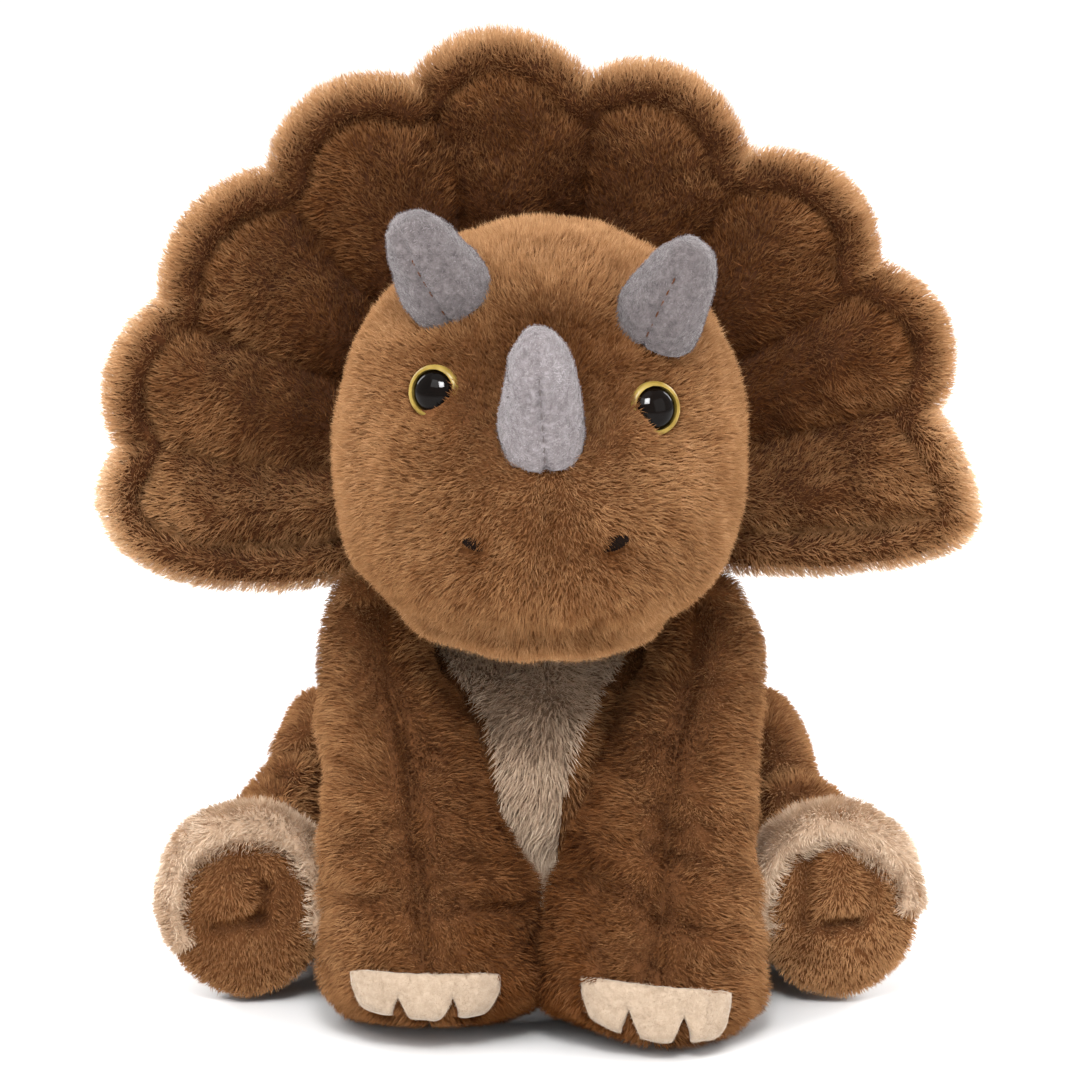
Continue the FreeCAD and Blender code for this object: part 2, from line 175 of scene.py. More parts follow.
def glossy(name, c1, c2, rough, scale, coat=0.0, spec=0.5, stretch=(1, 1, 1)):
    """Moulded plastic: faint streaks of colour and of roughness."""
    m = plain(name, c1, rough=rough, sheen=0.0, spec=spec)
    nt = m.node_tree
    b = nt.nodes["Principled BSDF"]
    b.inputs["Coat Weight"].default_value = coat
    b.inputs["Coat Roughness"].default_value = 0.03
    tc = nt.nodes.new("ShaderNodeTexCoord")
    mp = nt.nodes.new("ShaderNodeMapping")
    mp.inputs["Scale"].default_value = stretch
    n = nt.nodes.new("ShaderNodeTexNoise")
    n.inputs["Scale"].default_value = scale
    r = nt.nodes.new("ShaderNodeValToRGB")
    r.color_ramp.elements[0].color = (*c1, 1)
    r.color_ramp.elements[1].color = (*c2, 1)
    r.color_ramp.elements[0].position = 0.35
    r.color_ramp.elements[1].position = 0.7
    mr = nt.nodes.new("ShaderNodeMapRange")
    mr.inputs["To Min"].default_value = rough * 0.7
    mr.inputs["To Max"].default_value = rough * 1.5
    l = nt.links.new
    l(tc.outputs["Object"], mp.inputs["Vector"])
    l(mp.outputs["Vector"], n.inputs["Vector"])
    l(n.outputs["Fac"], r.inputs["Fac"])
    l(n.outputs["Fac"], mr.inputs["Value"])
    l(r.outputs["Color"], b.inputs["Base Color"])
    l(mr.outputs["Result"], b.inputs["Roughness"])
    return m


EYE_BLACK = glossy("eye_black_gloss", lin(5, 3, 2), lin(15, 8, 5), 0.035, 60, spec=0.1)
EYE_GOLD = glossy("eye_gold_gloss", lin(134, 110, 46), lin(164, 139, 70), 0.3, 240, coat=0.0, spec=0.12)
WASHER = glossy("washer_plastic_white", lin(214, 212, 206), lin(228, 226, 220), 0.4, 200)

# ------------------------------------------------------------------ small maths


def noise(p, wavelength, seed, k=6):
    """Smooth noise, about -1..1, of points p (mm), with a wavelength in mm."""
    r = np.random.default_rng(seed)
    out = np.zeros(len(p))
    for i in range(k):
        d = r.normal(size=3)
        d /= np.linalg.norm(d)
        f = 2 * math.pi / wavelength * (0.6 + 0.9 * r.random())
        out += np.sin(p @ d * f + r.random() * 6.283)
    return out / math.sqrt(k)


def spline(x, y, q):
    """Natural cubic through (x, y) at q."""
    x, y, q = np.asarray(x, float), np.asarray(y, float), np.asarray(q, float)
    n = len(x)
    h = np.diff(x)
    A = np.zeros((n, n))
    r = np.zeros(n)
    A[0, 0] = A[-1, -1] = 1
    for i in range(1, n - 1):
        A[i, i - 1], A[i, i], A[i, i + 1] = h[i - 1], 2 * (h[i - 1] + h[i]), h[i]
        r[i] = 6 * ((y[i + 1] - y[i]) / h[i] - (y[i] - y[i - 1]) / h[i - 1])
    m = np.linalg.solve(A, r)
    i = np.clip(np.searchsorted(x, q) - 1, 0, n - 2)
    a, b = (x[i + 1] - q) / h[i], (q - x[i]) / h[i]
    return a * y[i] + b * y[i + 1] + ((a ** 3 - a) * m[i] + (b ** 3 - b) * m[i + 1]) * h[i] ** 2 / 6


def gauss(p, c, s):
    d = (p - np.asarray(c, float)) / np.asarray(s, float)
    return np.exp(-0.5 * (d * d).sum(1))


def unit(v):
    return v / (np.linalg.norm(v, axis=-1, keepdims=True) + 1e-12)


class Surf:
    """A triangle and quad surface in design millimetres."""

    def __init__(self, v, quads, tris=()):
        self.v = np.asarray(v, float)
        self.q = np.asarray(quads, int).reshape(-1, 4)
        self.t = np.asarray(tris, int).reshape(-1, 3)
        self.fix()

    def tri(self):
        return np.concatenate([self.q[:, [0, 1, 2]], self.q[:, [0, 2, 3]], self.t])

    def fix(self):
        t = self.tri()
        a, b, c = (self.v[t[:, i]] for i in range(3))
        vol = np.einsum("ij,ij->i", a, np.cross(b, c)).sum()
        if vol < 0:
            self.q, self.t = self.q[:, ::-1], self.t[:, ::-1]
        self.normals()

    def normals(self):
        t = self.tri()
        a, b, c = (self.v[t[:, i]] for i in range(3))
        n = np.cross(b - a, c - a)
        out = np.zeros_like(self.v)
        for i in range(3):
            np.add.at(out, t[:, i], n)
        self.n = unit(out)
        return self.n

    def push(self, h):
        """Move every point along its normal by h (mm)."""
        self.v = self.v + self.n * np.asarray(h)[:, None]
        self.normals()

    def relax(self, times, k=0.5):
        e = np.concatenate([self.q[:, [0, 1]], self.q[:, [1, 2]], self.q[:, [2, 3]], self.q[:, [3, 0]],
                            self.t[:, [0, 1]], self.t[:, [1, 2]], self.t[:, [2, 0]]])
        for _ in range(times):
            s = np.zeros_like(self.v)
            c = np.zeros(len(self.v))
            np.add.at(s, e[:, 0], self.v[e[:, 1]])
            np.add.at(s, e[:, 1], self.v[e[:, 0]])
            np.add.at(c, e[:, 0], 1)
            np.add.at(c, e[:, 1], 1)
            self.v += k * (s / np.maximum(c, 1)[:, None] - self.v)
        self.normals()

    def sample(self, per_cm2, seed, keep=None):
        """Random points on it: position, normal."""
        r = np.random.default_rng(seed)
        t = self.tri()
        a, b, c = (self.v[t[:, i]] for i in range(3))
        area = np.linalg.norm(np.cross(b - a, c - a), axis=1) / 2
        n = int(area.sum() / 100 * per_cm2)
        i = r.choice(len(t), n, p=area / area.sum())
        u, w = r.random(n), r.random(n)
        f = u + w > 1
        u[f], w[f] = 1 - u[f], 1 - w[f]
        p = a[i] + u[:, None] * (b - a)[i] + w[:, None] * (c - a)[i]
        m = (self.n[t[i, 0]] * (1 - u - w)[:, None] + self.n[t[i, 1]] * u[:, None]
             + self.n[t[i, 2]] * w[:, None])
        m = unit(m)
        if keep is not None:
            k = keep(p, m)
            p, m = p[k], m[k]
        return p[:65000], m[:65000]

    def mesh(self, name, material, smooth=True, slots=None):
        me = bpy.data.meshes.new(name)
        nv, nq, nt = len(self.v), len(self.q), len(self.t)
        me.vertices.add(nv)
        me.vertices.foreach_set("co", W(self.v).astype(np.float32).ravel())
        loops = np.concatenate([self.q.ravel(), self.t.ravel()])
        me.loops.add(len(loops))
        me.loops.foreach_set("vertex_index", loops.astype(np.int32))
        me.polygons.add(nq + nt)
        st = np.concatenate([np.arange(nq) * 4, nq * 4 + np.arange(nt) * 3])
        me.polygons.foreach_set("loop_start", st.astype(np.int32))
        for m in (material if isinstance(material, list) else [material]):
            me.materials.append(m)
        if slots is not None:
            me.polygons.foreach_set("material_index", np.asarray(slots, np.int32))
        me.polygons.foreach_set("use_smooth", np.full(nq + nt, smooth))
        me.update(calc_edges=True)
        me.validate()
        o = bpy.data.objects.new(name, me)
        bpy.context.scene.collection.objects.link(o)
        return o


def ring_surf(secs, axis, low, high, nu=96, nv=72, power=2.0, cap=7, side=1, close=0.0):
    """Smooth body of ovals along an axis: rows (s, c1, c2, a, b). low and high are end tips."""
    s = np.array([r[0] for r in secs], float)
    q = np.linspace(s[0], s[-1], nv)
    cols = [spline(s, [r[k] for r in secs], q) for k in range(1, 5)]
    rows = list(zip(q, *cols))
    head, tail = [], []
    for k in range(cap, 0, -1):
        f = k / (cap + 1.0)
        g = math.sin(math.acos(f)) if f < 1 else 0
        r = rows[0]
        d = low - r[0]
        head.append((r[0] + d * f, r[1], r[2], r[3] * g, r[4] * g))
        r = rows[-1]
        d = high - r[0]
        tail.insert(0, (r[0] + d * f, r[1], r[2], r[3] * g, r[4] * g))
    rows = head + rows + tail
    t = np.arange(nu) * 2 * math.pi / nu
    ct, st = np.cos(t), np.sin(t)
    if power != 2.0:
        ct = np.sign(ct) * np.abs(ct) ** (2 / power)
        st = np.sign(st) * np.abs(st) ** (2 / power)
    v = []
    for z, c1, c2, a, b in rows:
        x, y = c1 + a * ct, c2 + b * st
        if axis == "z":
            v.append(np.stack([side * x, y, np.full(nu, z)], 1))
        else:
            v.append(np.stack([side * x, np.full(nu, z), y], 1))
    v = np.concatenate(v)
    n = len(rows)
    i = np.arange(n - 1)[:, None] * nu
    j = np.arange(nu)[None, :]
    k = (j + 1) % nu
    quads = np.stack([i + j, i + k, i + nu + k, i + nu + j], -1).reshape(-1, 4)
    r0, r1 = rows[0], rows[-1]
    if axis == "z":
        tips = [(side * r0[1], r0[2], low), (side * r1[1], r1[2], high)]
    else:
        tips = [(side * r0[1], low, r0[2]), (side * r1[1], high, r1[2])]
    v = np.concatenate([v, np.array(tips)])
    a, b = len(v) - 2, len(v) - 1
    j = np.arange(nu)
    k = (j + 1) % nu
    t1 = np.stack([k, j, np.full(nu, a)], 1)
    base = (n - 1) * nu
    t2 = np.stack([base + j, base + k, np.full(nu, b)], 1)
    return Surf(v, quads, np.concatenate([t1, t2]))


# ------------------------------------------------------------------ plush pile
def comb_away(p, n, c):
    """Tangent directions that lead away from a point."""
    t = p - np.asarray(c, float)
    return unit(t - (t * n).sum(1)[:, None] * n)


def comb_to(n, d):
    d = np.broadcast_to(np.asarray(d, float), n.shape)
    return unit(d - (d * n).sum(1)[:, None] * n)


def pile(name, p, n, comb, length, width, tone, mats, seed, lift=(60, 30), clump=0.12,
         swirl=0.45, per_clump=12, under=0.35, jitter=0.22, spread=1.0):
    """Plush pile as fine curved blades, one mesh. Lengths in mm; tone is a float index into mats."""
    r = np.random.default_rng(seed)
    N = len(p)
    length = np.broadcast_to(np.asarray(length, float), (N,)) * (0.72 + 0.5 * r.random(N))
    b = np.cross(n, comb)
    ang = swirl * noise(p, 46, seed + 1) + swirl * 0.7 * noise(p, 15, seed + 2) + r.normal(0, jitter, N)
    d = comb * np.cos(ang)[:, None] + b * np.sin(ang)[:, None]
    l0 = np.radians(lift[0] + r.normal(0, 9, N))
    l1 = np.radians(lift[1] + 9 * noise(p, 17, seed + 3) + r.normal(0, 9, N))
    root = p - n * under
    h = (length / 2)[:, None]
    mid = root + h * (d * np.cos(l0)[:, None] + n * np.sin(l0)[:, None])
    tip = mid + h * (d * np.cos(l1)[:, None] + n * np.sin(l1)[:, None])
    if clump > 0 and N > 50:
        ci = r.choice(N, max(2, N // per_clump), replace=False)
        kd = KDTree(len(ci))
        for i, c in enumerate(ci):
            kd.insert(p[c], i)
        kd.balance()
        near = np.fromiter((kd.find(q)[1] for q in p), int, N)
        tip = tip * (1 - clump) + tip[ci][near] * clump
    side = unit(np.cross(d, n))
    roll = r.normal(0, 0.6, N)
    side = side * np.cos(roll)[:, None] + n * np.sin(roll)[:, None]
    w = (np.broadcast_to(np.asarray(width, float), (N,)) * (0.7 + 0.6 * r.random(N)))[:, None]
    v = np.stack([root - side * w * 0.5, root + side * w * 0.5, mid - side * w * 0.42,
                  mid + side * w * 0.42, tip], 1).reshape(-1, 3)
    base = (np.arange(N) * 5)[:, None]
    loops = np.concatenate([base + np.array([0, 1, 3, 2]), base + np.array([2, 3, 4])], 1).ravel()
    me = bpy.data.meshes.new(name)
    me.vertices.add(len(v))
    me.vertices.foreach_set("co", W(v).astype(np.float32).ravel())
    me.loops.add(len(loops))
    me.loops.foreach_set("vertex_index", loops.astype(np.int32))
    me.polygons.add(N * 2)
    me.polygons.foreach_set("loop_start", np.stack(
        [np.arange(N) * 7, np.arange(N) * 7 + 4], 1).ravel().astype(np.int32))
    k = len(mats) - 1
    each = r.normal(0, 0.33 * spread, N)
    a = np.clip(np.round(tone - 0.55 * spread + each), 0, k)
    c = np.clip(np.round(tone + 0.45 * spread + each + r.normal(0, 0.25, N)), 0, k)
    me.polygons.foreach_set("material_index", np.stack([a, c], 1).ravel().astype(np.int32))
    me.polygons.foreach_set("use_smooth", np.ones(N * 2, bool))
    for m in mats:
        me.materials.append(m)
    me.update(calc_edges=True)
    o = bpy.data.objects.new(name, me)
    bpy.context.scene.collection.objects.link(o)
    return o


def mottle(p, seed, a=0.55, b=0.45):
    return a * noise(p, 38, seed) + b * noise(p, 13, seed + 1)


# ------------------------------------------------------------------ the head
ROLL = math.radians(3.0)
HEAD_C = np.array([0.0, -48.0, 167.0])


def roll(p):
    q = p - HEAD_C
    c, s = math.cos(ROLL), math.sin(ROLL)
    return np.stack([q[:, 0] * c + q[:, 2] * s, q[:, 1], -q[:, 0] * s + q[:, 2] * c], 1) + HEAD_C


HEAD = [
    (108.5, 0, -50, 17, 18), (112.8, 0, -51, 28, 30), (119.5, 0, -52, 39, 42.5),
    (130.0, 0, -53, 50, 51.8), (143.0, 0, -52, 56.8, 56.5), (157.0, 0, -50, 59.6, 58),
    (171.0, 0, -48, 59.5, 57), (185.0, 0, -46, 57, 54.5), (198.0, 0, -44, 52, 50),
    (210.0, 0, -43, 44, 43), (220.0, 0, -42, 33, 33), (227.5, 0, -41.5, 19, 19)]
PILE = 2.9  # how deep the skin lies under the tips of the pile


def inset(secs, t, ends=True):
    out = [list(s) for s in secs]
    for s in out:
        s[3] -= t
        s[4] -= t
    if ends:
        out[0][0] += t * 0.8
        out[-1][0] -= t * 0.8
    return out


head = ring_surf(inset(HEAD, PILE), "z", 106.3 + PILE, 230.5 - PILE, nu=150, nv=110)
head.v = roll(head.v)
head.normals()
EYES = {}
for nm in ("left", "right"):
    c = node_centre("eye_iris_" + nm)
    sx = 1 if nm == "left" else -1
    EYES[nm] = (c, unit(np.array([sx * 0.38, -0.89, 0.20])), sx)
NOSTRIL = {nm: node_centre("nostril_stitch_" + nm) + np.array([-1.0 if nm == "left" else 0.4, 0, 1.3])
           for nm in ("left", "right")}
h = np.zeros(len(head.v))
for nm, (c, d, sx) in EYES.items():
    h += 0.4 * gauss(head.v, c, (7.5, 12, 7.5))
    h += 3.4 * gauss(head.v, c + np.array([-sx * 8.6, -1, -8.0]), (5.6, 12, 4.6))
    h += 1.6 * gauss(head.v, c + np.array([-sx * 10.6, -1, 1.0]), (3.6, 12, 5.0))
    h += 2.6 * gauss(head.v, c + np.array([-sx * 1, 0, 12.8]), (12.0, 14, 4.0))
    h -= 1.3 * gauss(head.v, c + np.array([-sx * 4.0, 0, 8.0]), (7.0, 12, 2.4))
    h += 1.6 * gauss(head.v, c + np.array([sx * 3, 0, -19.0]), (14.0, 16, 9.0))
    h -= 1.2 * gauss(head.v, c + np.array([-sx * 15, 0, 1.0]), (4.0, 14, 8.0))
for nm, c in NOSTRIL.items():
    h -= 1.9 * gauss(head.v, c, (5.0, 9, 3.2))
front = np.clip((-head.v[:, 1] - 70) / 25, 0, 1)
h += 2.2 * gauss(head.v, (0, -105, 150), (26, 20, 16))
h -= 0.7 * front * np.exp(-0.5 * ((head.v[:, 0] - 1) / 1.6) ** 2) * ((head.v[:, 2] < 166) & (head.v[:, 2] > 112))
h += 0.5 * noise(head.v, 30, 71) + 0.25 * noise(head.v, 13, 72)
head.push(h)
back = head.v[:, 1] > -1.0
head.v[back, 1] = -1.0 + (head.v[back, 1] + 1.0) * 0.12
head.normals()
head_skin = head.mesh("head_plush_skin", BACK_BROWN)
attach(head_skin, "head")
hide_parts("head_skin", "head_stuffing")

# horns: felt cones, their axes and sizes from the design
BROW = [(-3.0, 11.8), (2, 12.3), (8, 11.9), (15, 10.6), (21, 8.9), (25.4, 6.6)]
HORN_SPECS = {
    "brow_horn_left": ((31.0, -75.0, 208.6), (0.314, -0.35, 0.889), BROW, 28.8),
    "brow_horn_right": ((-28.0, -71.0, 213.6), (-0.541, -0.36, 0.764), BROW, 28.6),
    "nose_horn": ((0.3, -98.5, 178), (-0.10, -0.50, 0.866),
                  [(-3.0, 11.1), (4, 11.7), (13, 11.3), (24, 9.7), (32, 7.9), (36, 5.6)], 38.6)}
HORN_AXES = {}
SEAM_AT = {"brow_horn_left": 102.0, "brow_horn_right": 110.0, "nose_horn": 90.0}


def capsule(a, b, r, k=8):
    """A short stitch of thread between two points."""
    a, b = np.asarray(a, float), np.asarray(b, float)
    d = b - a
    L = np.linalg.norm(d)
    d = d / L
    u = unit(np.cross(d, [0.3, 0.9, 0.2]))
    w = np.cross(d, u)
    rows = []
    for s, f in ((0.02, 0.45), (0.15, 0.85), (0.5, 1.0), (0.85, 0.85), (0.98, 0.45)):
        t = np.arange(k) * 2 * math.pi / k
        rows.append(a + d * L * s + r * f * (np.cos(t)[:, None] * u + np.sin(t)[:, None] * w))
    v = np.concatenate(rows + [[a], [b]])
    j = np.arange(k)
    q = [np.stack([i * k + j, i * k + (j + 1) % k, (i + 1) * k + (j + 1) % k, (i + 1) * k + j], 1) for i in range(4)]
    t0 = np.stack([(j + 1) % k, j, np.full(k, 5 * k)], 1)
    t1 = np.stack([4 * k + j, 4 * k + (j + 1) % k, np.full(k, 5 * k + 1)], 1)
    return v, np.concatenate(q), np.concatenate([t0, t1])


def join(parts):
    v, q, t, o = [], [], [], 0
    for a, b, c in parts:
        v.append(a)
        q.append(b + o)
        t.append(c + o)
        o += len(a)
    s = Surf.__new__(Surf)
    s.v, s.q, s.t = np.concatenate(v), np.concatenate(q), np.concatenate(t)
    s.normals()
    return s


def horn(name, base, d, levels, tip):
    d = unit(np.array(d, float))
    u = unit(np.cross(d, [0, 1, 0]))          # across
    w = np.cross(d, u)                        # towards the front or the back
    if w[1] > 0:
        w = -w
        u = -u
    if u[0] < 0:
        u = -u
    s = ring_surf([(a, 0, 0, r, r) for a, r in levels], "z", levels[0][0] - 0.5, tip, nu=96, nv=70, cap=9)
    ang = np.arctan2(s.v[:, 1], s.v[:, 0])    # 90 degrees is the front
    at = math.radians(SEAM_AT[name])
    f = np.abs(np.angle(np.exp(1j * (ang - at))))
    bk = np.abs(np.angle(np.exp(1j * (ang + at))))
    z = s.v[:, 2].copy()
    top = np.clip((tip - z) / 6, 0, 1)
    body = np.hypot(s.v[:, 0], s.v[:, 1])
    groove = (1.0 if name == "nose_horn" else 1.5) * np.exp(-(f * body / 1.4) ** 2) * top + 0.9 * np.exp(-(bk * body / 1.0) ** 2) * top
    swell = 0.45 * noise(s.v, 18, 31) + 0.25 * noise(s.v, 7, 32)
    s.push(swell - groove)
    place = lambda q: roll(np.asarray(base) + q[:, 0:1] * u + q[:, 1:2] * w + q[:, 2:3] * d)
    seam = s.v[np.argsort(f)]
    s.v = place(s.v)
    s.fix()
    o = s.mesh(name + "_felt", FELT_GREY if name == "nose_horn" else FELT_GREY_DARK)
    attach(o, "head")
    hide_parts(name + "_cover", name + "_stuffing")
    b = roll(np.array([base], float))[0]
    e = roll(np.array([np.asarray(base) + d * tip], float))[0]
    HORN_AXES[name] = (b, unit(e - b), tip, levels[0][1])
    # felt fibres
    p, n = s.sample(300, 400 + len(name))
    tone = (1.1 if name == "nose_horn" else 0.2) + 0.55 * noise(p, 9, 5) + 0.35 * noise(p, 40, 6) + 0.5 * np.clip(((p - b) @ unit(e - b)) / tip, 0, 1)
    fz = pile(name + "_fibres", p, n, unit(np.cross(n, np.tile(d, (len(n), 1)))), 1.25, 0.15,
              tone, GREY, 410 + len(name), lift=(42, 18), clump=0.0, swirl=2.5, under=0.15, jitter=1.2)
    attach(fz, "head")
    # the sewn seam: a row of thread stitches in the groove
    lv = np.array(levels)
    parts = []
    n_st = 8 if name == "nose_horn" else 6
    zs = np.linspace(0.5, tip - 9, n_st * 2)
    for i in range(0, n_st * 2, 2):
        pts = []
        for zz in (zs[i], zs[i] + (zs[1] - zs[0]) * 1.1):
            rr = np.interp(zz, lv[:, 0], lv[:, 1]) - (0.68 if name == "nose_horn" else 0.95)
            pts.append([rr * math.cos(at), rr * math.sin(at), zz])
        q = place(np.array(pts))
        parts.append(capsule(q[0], q[1], 0.26))
    st = join(parts).mesh(name + "_seam_stitches", SEAM_GREY if name == "nose_horn" else SEAM_THREAD)
    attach(st, "head")
    return s


for nm, spec in HORN_SPECS.items():
    horn(nm, *spec)


def clear_of_horns(p, extra=0.2):
    k = np.ones(len(p), bool)
    for b, d, tip, r in HORN_AXES.values():
        q = p - b
        s = q @ d
        rad = np.linalg.norm(q - s[:, None] * d, axis=1)
        k &= ~((rad < r - extra) & (s > -2.5) & (s < tip))
    return k


def eye_clear(p, r=7.9):
    k = np.ones(len(p), bool)
    for c, d, sx in EYES.values():
        q = p - c
        s = q @ d
        rad = np.linalg.norm(q - s[:, None] * d, axis=1)
        nosewards = np.clip((-sx * q[:, 0] / np.maximum(rad, 0.1) + 0.12) / 0.45, 0, 1)
        k &= ~((rad < r - 1.7 * nosewards) & (np.abs(s) < 14))
    return k


NOSE_AT = np.array([1.0, -106.0, 174.0])


def head_keep(p, n):
    k = eye_clear(p) & clear_of_horns(p) & (p[:, 1] < -3)
    for c in NOSTRIL.values():
        k &= ~((np.abs(p[:, 0] - c[0]) < 3.5) & (np.abs(p[:, 2] - c[2]) < 0.95) & (p[:, 1] < -60))
    return k


near_eye = lambda p: np.maximum(gauss(p, EYES["left"][0], (11, 16, 11)), gauss(p, EYES["right"][0], (11, 16, 11)))


def head_pile(name, seed, dens, keep, width, scale=1.0, up=0.0):
    p, n = head.sample(dens, seed, keep)
    comb = comb_away(p, n, NOSE_AT)
    ne = near_eye(p)
    length = 3.9 - 0.9 * ne
    length -= 0.5 * gauss(p, NOSE_AT, (15, 20, 16))
    for b, d, tip, r in HORN_AXES.values():
        length -= 0.4 * gauss(p, b, (15, 15, 12))
    for c in NOSTRIL.values():
        length -= 0.8 * gauss(p, c, (7, 12, 5))
    length = np.clip(length, 2.2, 7) * scale
    tone = 6.0 + 0.5 * mottle(p, 21) + 0.45 * noise(p, 6, 23) + up
    tone += 1.1 * np.clip((p[:, 2] - 207) / 20, 0, 1)                    # lighter crown: painted light from above
    tone -= 2.5 * gauss(p, (2, -92, 200), (19, 25, 12))                   # darker brow
    tone -= 0.4 * gauss(p, (0, -106, 160), (17, 20, 14))
    tone -= 0.9 * gauss(p, (2, -106, 132), (30, 25, 20))
    tone += 0.5 * np.clip(np.abs(p[:, 0]) / 58, 0, 1) ** 2
    tone += 0.5 * gauss(p, (42, -85, 165), (18, 40, 18))
    # painted rim light: lighter along the lower edge of the chin
    tone += 0.9 * np.clip((118 - p[:, 2]) / 10, 0, 1) * (p[:, 1] < -60)
    # painted shade: darker at the lower back of the head, where it sits over the neck
    tone -= 1.5 * np.clip((p[:, 1] + 40) / 40, 0, 1) * (p[:, 2] < 130)
    # painted shade: darker pile around the sunken eyes
    for c, d, sx in EYES.values():
        tone -= 1.1 * gauss(p, c, (9.5, 14, 9.5))
    # painted shade: darker pile around the nostrils
    for c in NOSTRIL.values():
        tone -= 2.2 * gauss(p, c, (5.0, 9, 3.0))
    tone += 0.5 * gauss(p, (4, -95, 122), (26, 20, 12))
    o = pile(name, p, n, comb, length, width, tone, BROWN, seed + 90, swirl=0.4, lift=(74, 56), jitter=0.45)
    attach(o, "head")


head_pile("head_plush_pile_left", 11, 400, lambda p, n: head_keep(p, n) & (p[:, 0] >= 18), 0.31)
head_pile("head_plush_pile_middle", 14, 400, lambda p, n: head_keep(p, n) & (np.abs(p[:, 0]) < 18), 0.31)
head_pile("head_plush_pile_right", 12, 400, lambda p, n: head_keep(p, n) & (p[:, 0] <= -18), 0.31)
# the sparse stray hairs are a step lighter: painted light glowing through the fuzz
head_pile("head_plush_stray_hairs", 13, 16, head_keep, 0.16, scale=1.35, up=1.0)

# ------------------------------------------------------------------ eyes
# the CAD eye nodes stay and get their own finish below

# nostrils: two short rows of dark satin stitches pressed into the pile
for nm, c in NOSTRIL.items():
    sx = 1 if nm == "left" else -1
    big = 1.3 if nm == "left" else 0.98
    d = unit(np.array([sx * 0.9, -0.25, 0.35]))
    s = ring_surf([(-4.4, 0, 0, 0.9, 0.8), (-2.5, 0, 0, 1.6, 1.3), (0, 0, 0, 1.95, 1.6),
                   (2.5, 0, 0, 1.7, 1.4), (4.4, 0, 0, 0.9, 0.8)], "z", -5.2, 5.2, nu=24, nv=60, cap=4)
    z = s.v[:, 2].copy()
    s.push(0.16 * np.sin(z * 2 * math.pi / 0.75 + s.v[:, 0] * 0.8))
    s.v[:, :2] *= 0.86 * big
    z = z * 0.82 * big
    u = unit(np.cross(d, [0, 1, 0]))
    w = np.cross(d, u)
    s.v = c + np.array([0, 1.5, 1.4]) + s.v[:, 0:1] * u + s.v[:, 1:2] * w + z[:, None] * d
    s.fix()
    o = s.mesh("nostril_stitches_" + nm, THREAD)
    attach(o, "head")
    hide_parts("nostril_stitch_" + nm)

# ------------------------------------------------------------------ the neck
neck = ring_surf([(92, 0, 4, 16, 16), (98, 0, 4, 24, 23), (107, 0, 4, 29.6, 28), (116, 0, 4, 31.5, 29.5),
                  (125, 0, 4, 31.5, 29.0), (134, 0, 4, 27.5, 24.5)], "z", 89.8, 144.0, nu=64, nv=40)
neck.push(0.3 * noise(neck.v, 18, 81))
o = neck.mesh("neck_plush", BACK_BROWN)
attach(o, "neck")
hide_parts("neck_stuffing")
p, n = neck.sample(90, 82, lambda p, n: p[:, 2] > 100)
o = pile("neck_plush_pile", p, n, comb_to(n, (0, 0.2, -1)), 4.6, 0.55, 3.6 + 0.7 * mottle(p, 83), BROWN, 84)
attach(o, "neck")

# ------------------------------------------------------------------ the frill
FC = np.array([0.0, 146.0])
VALLEYS = [(10, 121.5), (33, 120.5), (58, 116.0), (83.5, 121.5), (108, 125.5),
           (131, 124.0), (154.5, 126.5), (175.5, 128.5)]
PEAKS = [131.5, 129.0, 130.5, 136.0, 135.0, 133.0, 135.0]
RIGHT_END = [(-26.2, 64.5), (-24, 72.6), (-21, 81.5), (-18, 93.5), (-15, 106), (-12, 119), (-9, 129.5),
             (-6, 133.5), (-3, 132.6), (0, 130.6), (4, 127.6), (7, 124.6), (10, 121.5)]
LEFT_END = [(175.5, 128.5), (178, 130.5), (181, 133.6), (184, 134.4), (187, 132.6), (190, 129.0),
            (193, 122.0), (196, 113.5), (199, 102.5), (202, 91.5), (205, 80.0), (208.5, 66.0)]


def frill_edge(th):
    """Outer radius in mm at angle th in degrees."""
    out = np.zeros_like(th)
    m = th <= 10
    out[m] = np.interp(th[m], [a for a, _ in RIGHT_END], [b for _, b in RIGHT_END])
    m = th >= 175.5
    out[m] = np.interp(th[m], [a for a, _ in LEFT_END], [b for _, b in LEFT_END])
    for i in range(7):
        (a0, r0), (a1, r1) = VALLEYS[i], VALLEYS[i + 1]
        m = (th >= a0) & (th <= a1)
        u = (th[m] - a0) / (a1 - a0)
        base = r0 + (r1 - r0) * u
        out[m] = base + (PEAKS[i] - (r0 + r1) / 2) * np.sin(math.pi * u) ** 0.72
    return out


def frill_inner(th):
    s = np.sin(np.radians(th))
    return -30 * s + np.sqrt(900 * s * s + 33.0 ** 2 - 900)


NU, NV = 500, 78
TH = np.linspace(-26.2, 208.5, NU)
REACH = 6.0   # the pile stands out past the sewn edge
RO = frill_edge(TH) - REACH
RI = frill_inner(TH)
vv = np.linspace(0, 1, NV) ** 0.8
RR = RI[:, None] + (RO - RI)[:, None] * vv[None, :]
TT = np.repeat(TH[:, None], NV, 1)
X = RR * np.cos(np.radians(TT))
Z = RR * np.sin(np.radians(TT))
# distances to the sewn lines
edge_d = np.empty_like(X)
ex, ez = RO * np.cos(np.radians(TH)), RO * np.sin(np.radians(TH))
for i in range(NU):
    j0, j1 = max(0, i - 45), min(NU, i + 46)
    edge_d[i] = np.sqrt(((X[i][:, None] - ex[None, j0:j1]) ** 2 + (Z[i][:, None] - ez[None, j0:j1]) ** 2)).min(1)
rad_d = np.full_like(X, 1e3)
for a, _ in VALLEYS:
    bend = a + 2.2 * np.sin(RR / 30.0 + a)           # the seams wander a little
    da = np.radians(TT - bend)
    rad_d = np.minimum(rad_d, np.where(np.abs(da) < 1.2, np.abs(RR * np.sin(da)), 1e3))
P3 = np.stack([X, np.zeros_like(X), Z], -1).reshape(-1, 3)
nz = noise(P3, 38, 51).reshape(X.shape)
nz2 = noise(P3, 14, 52).reshape(X.shape)
ROLLW = 11.0


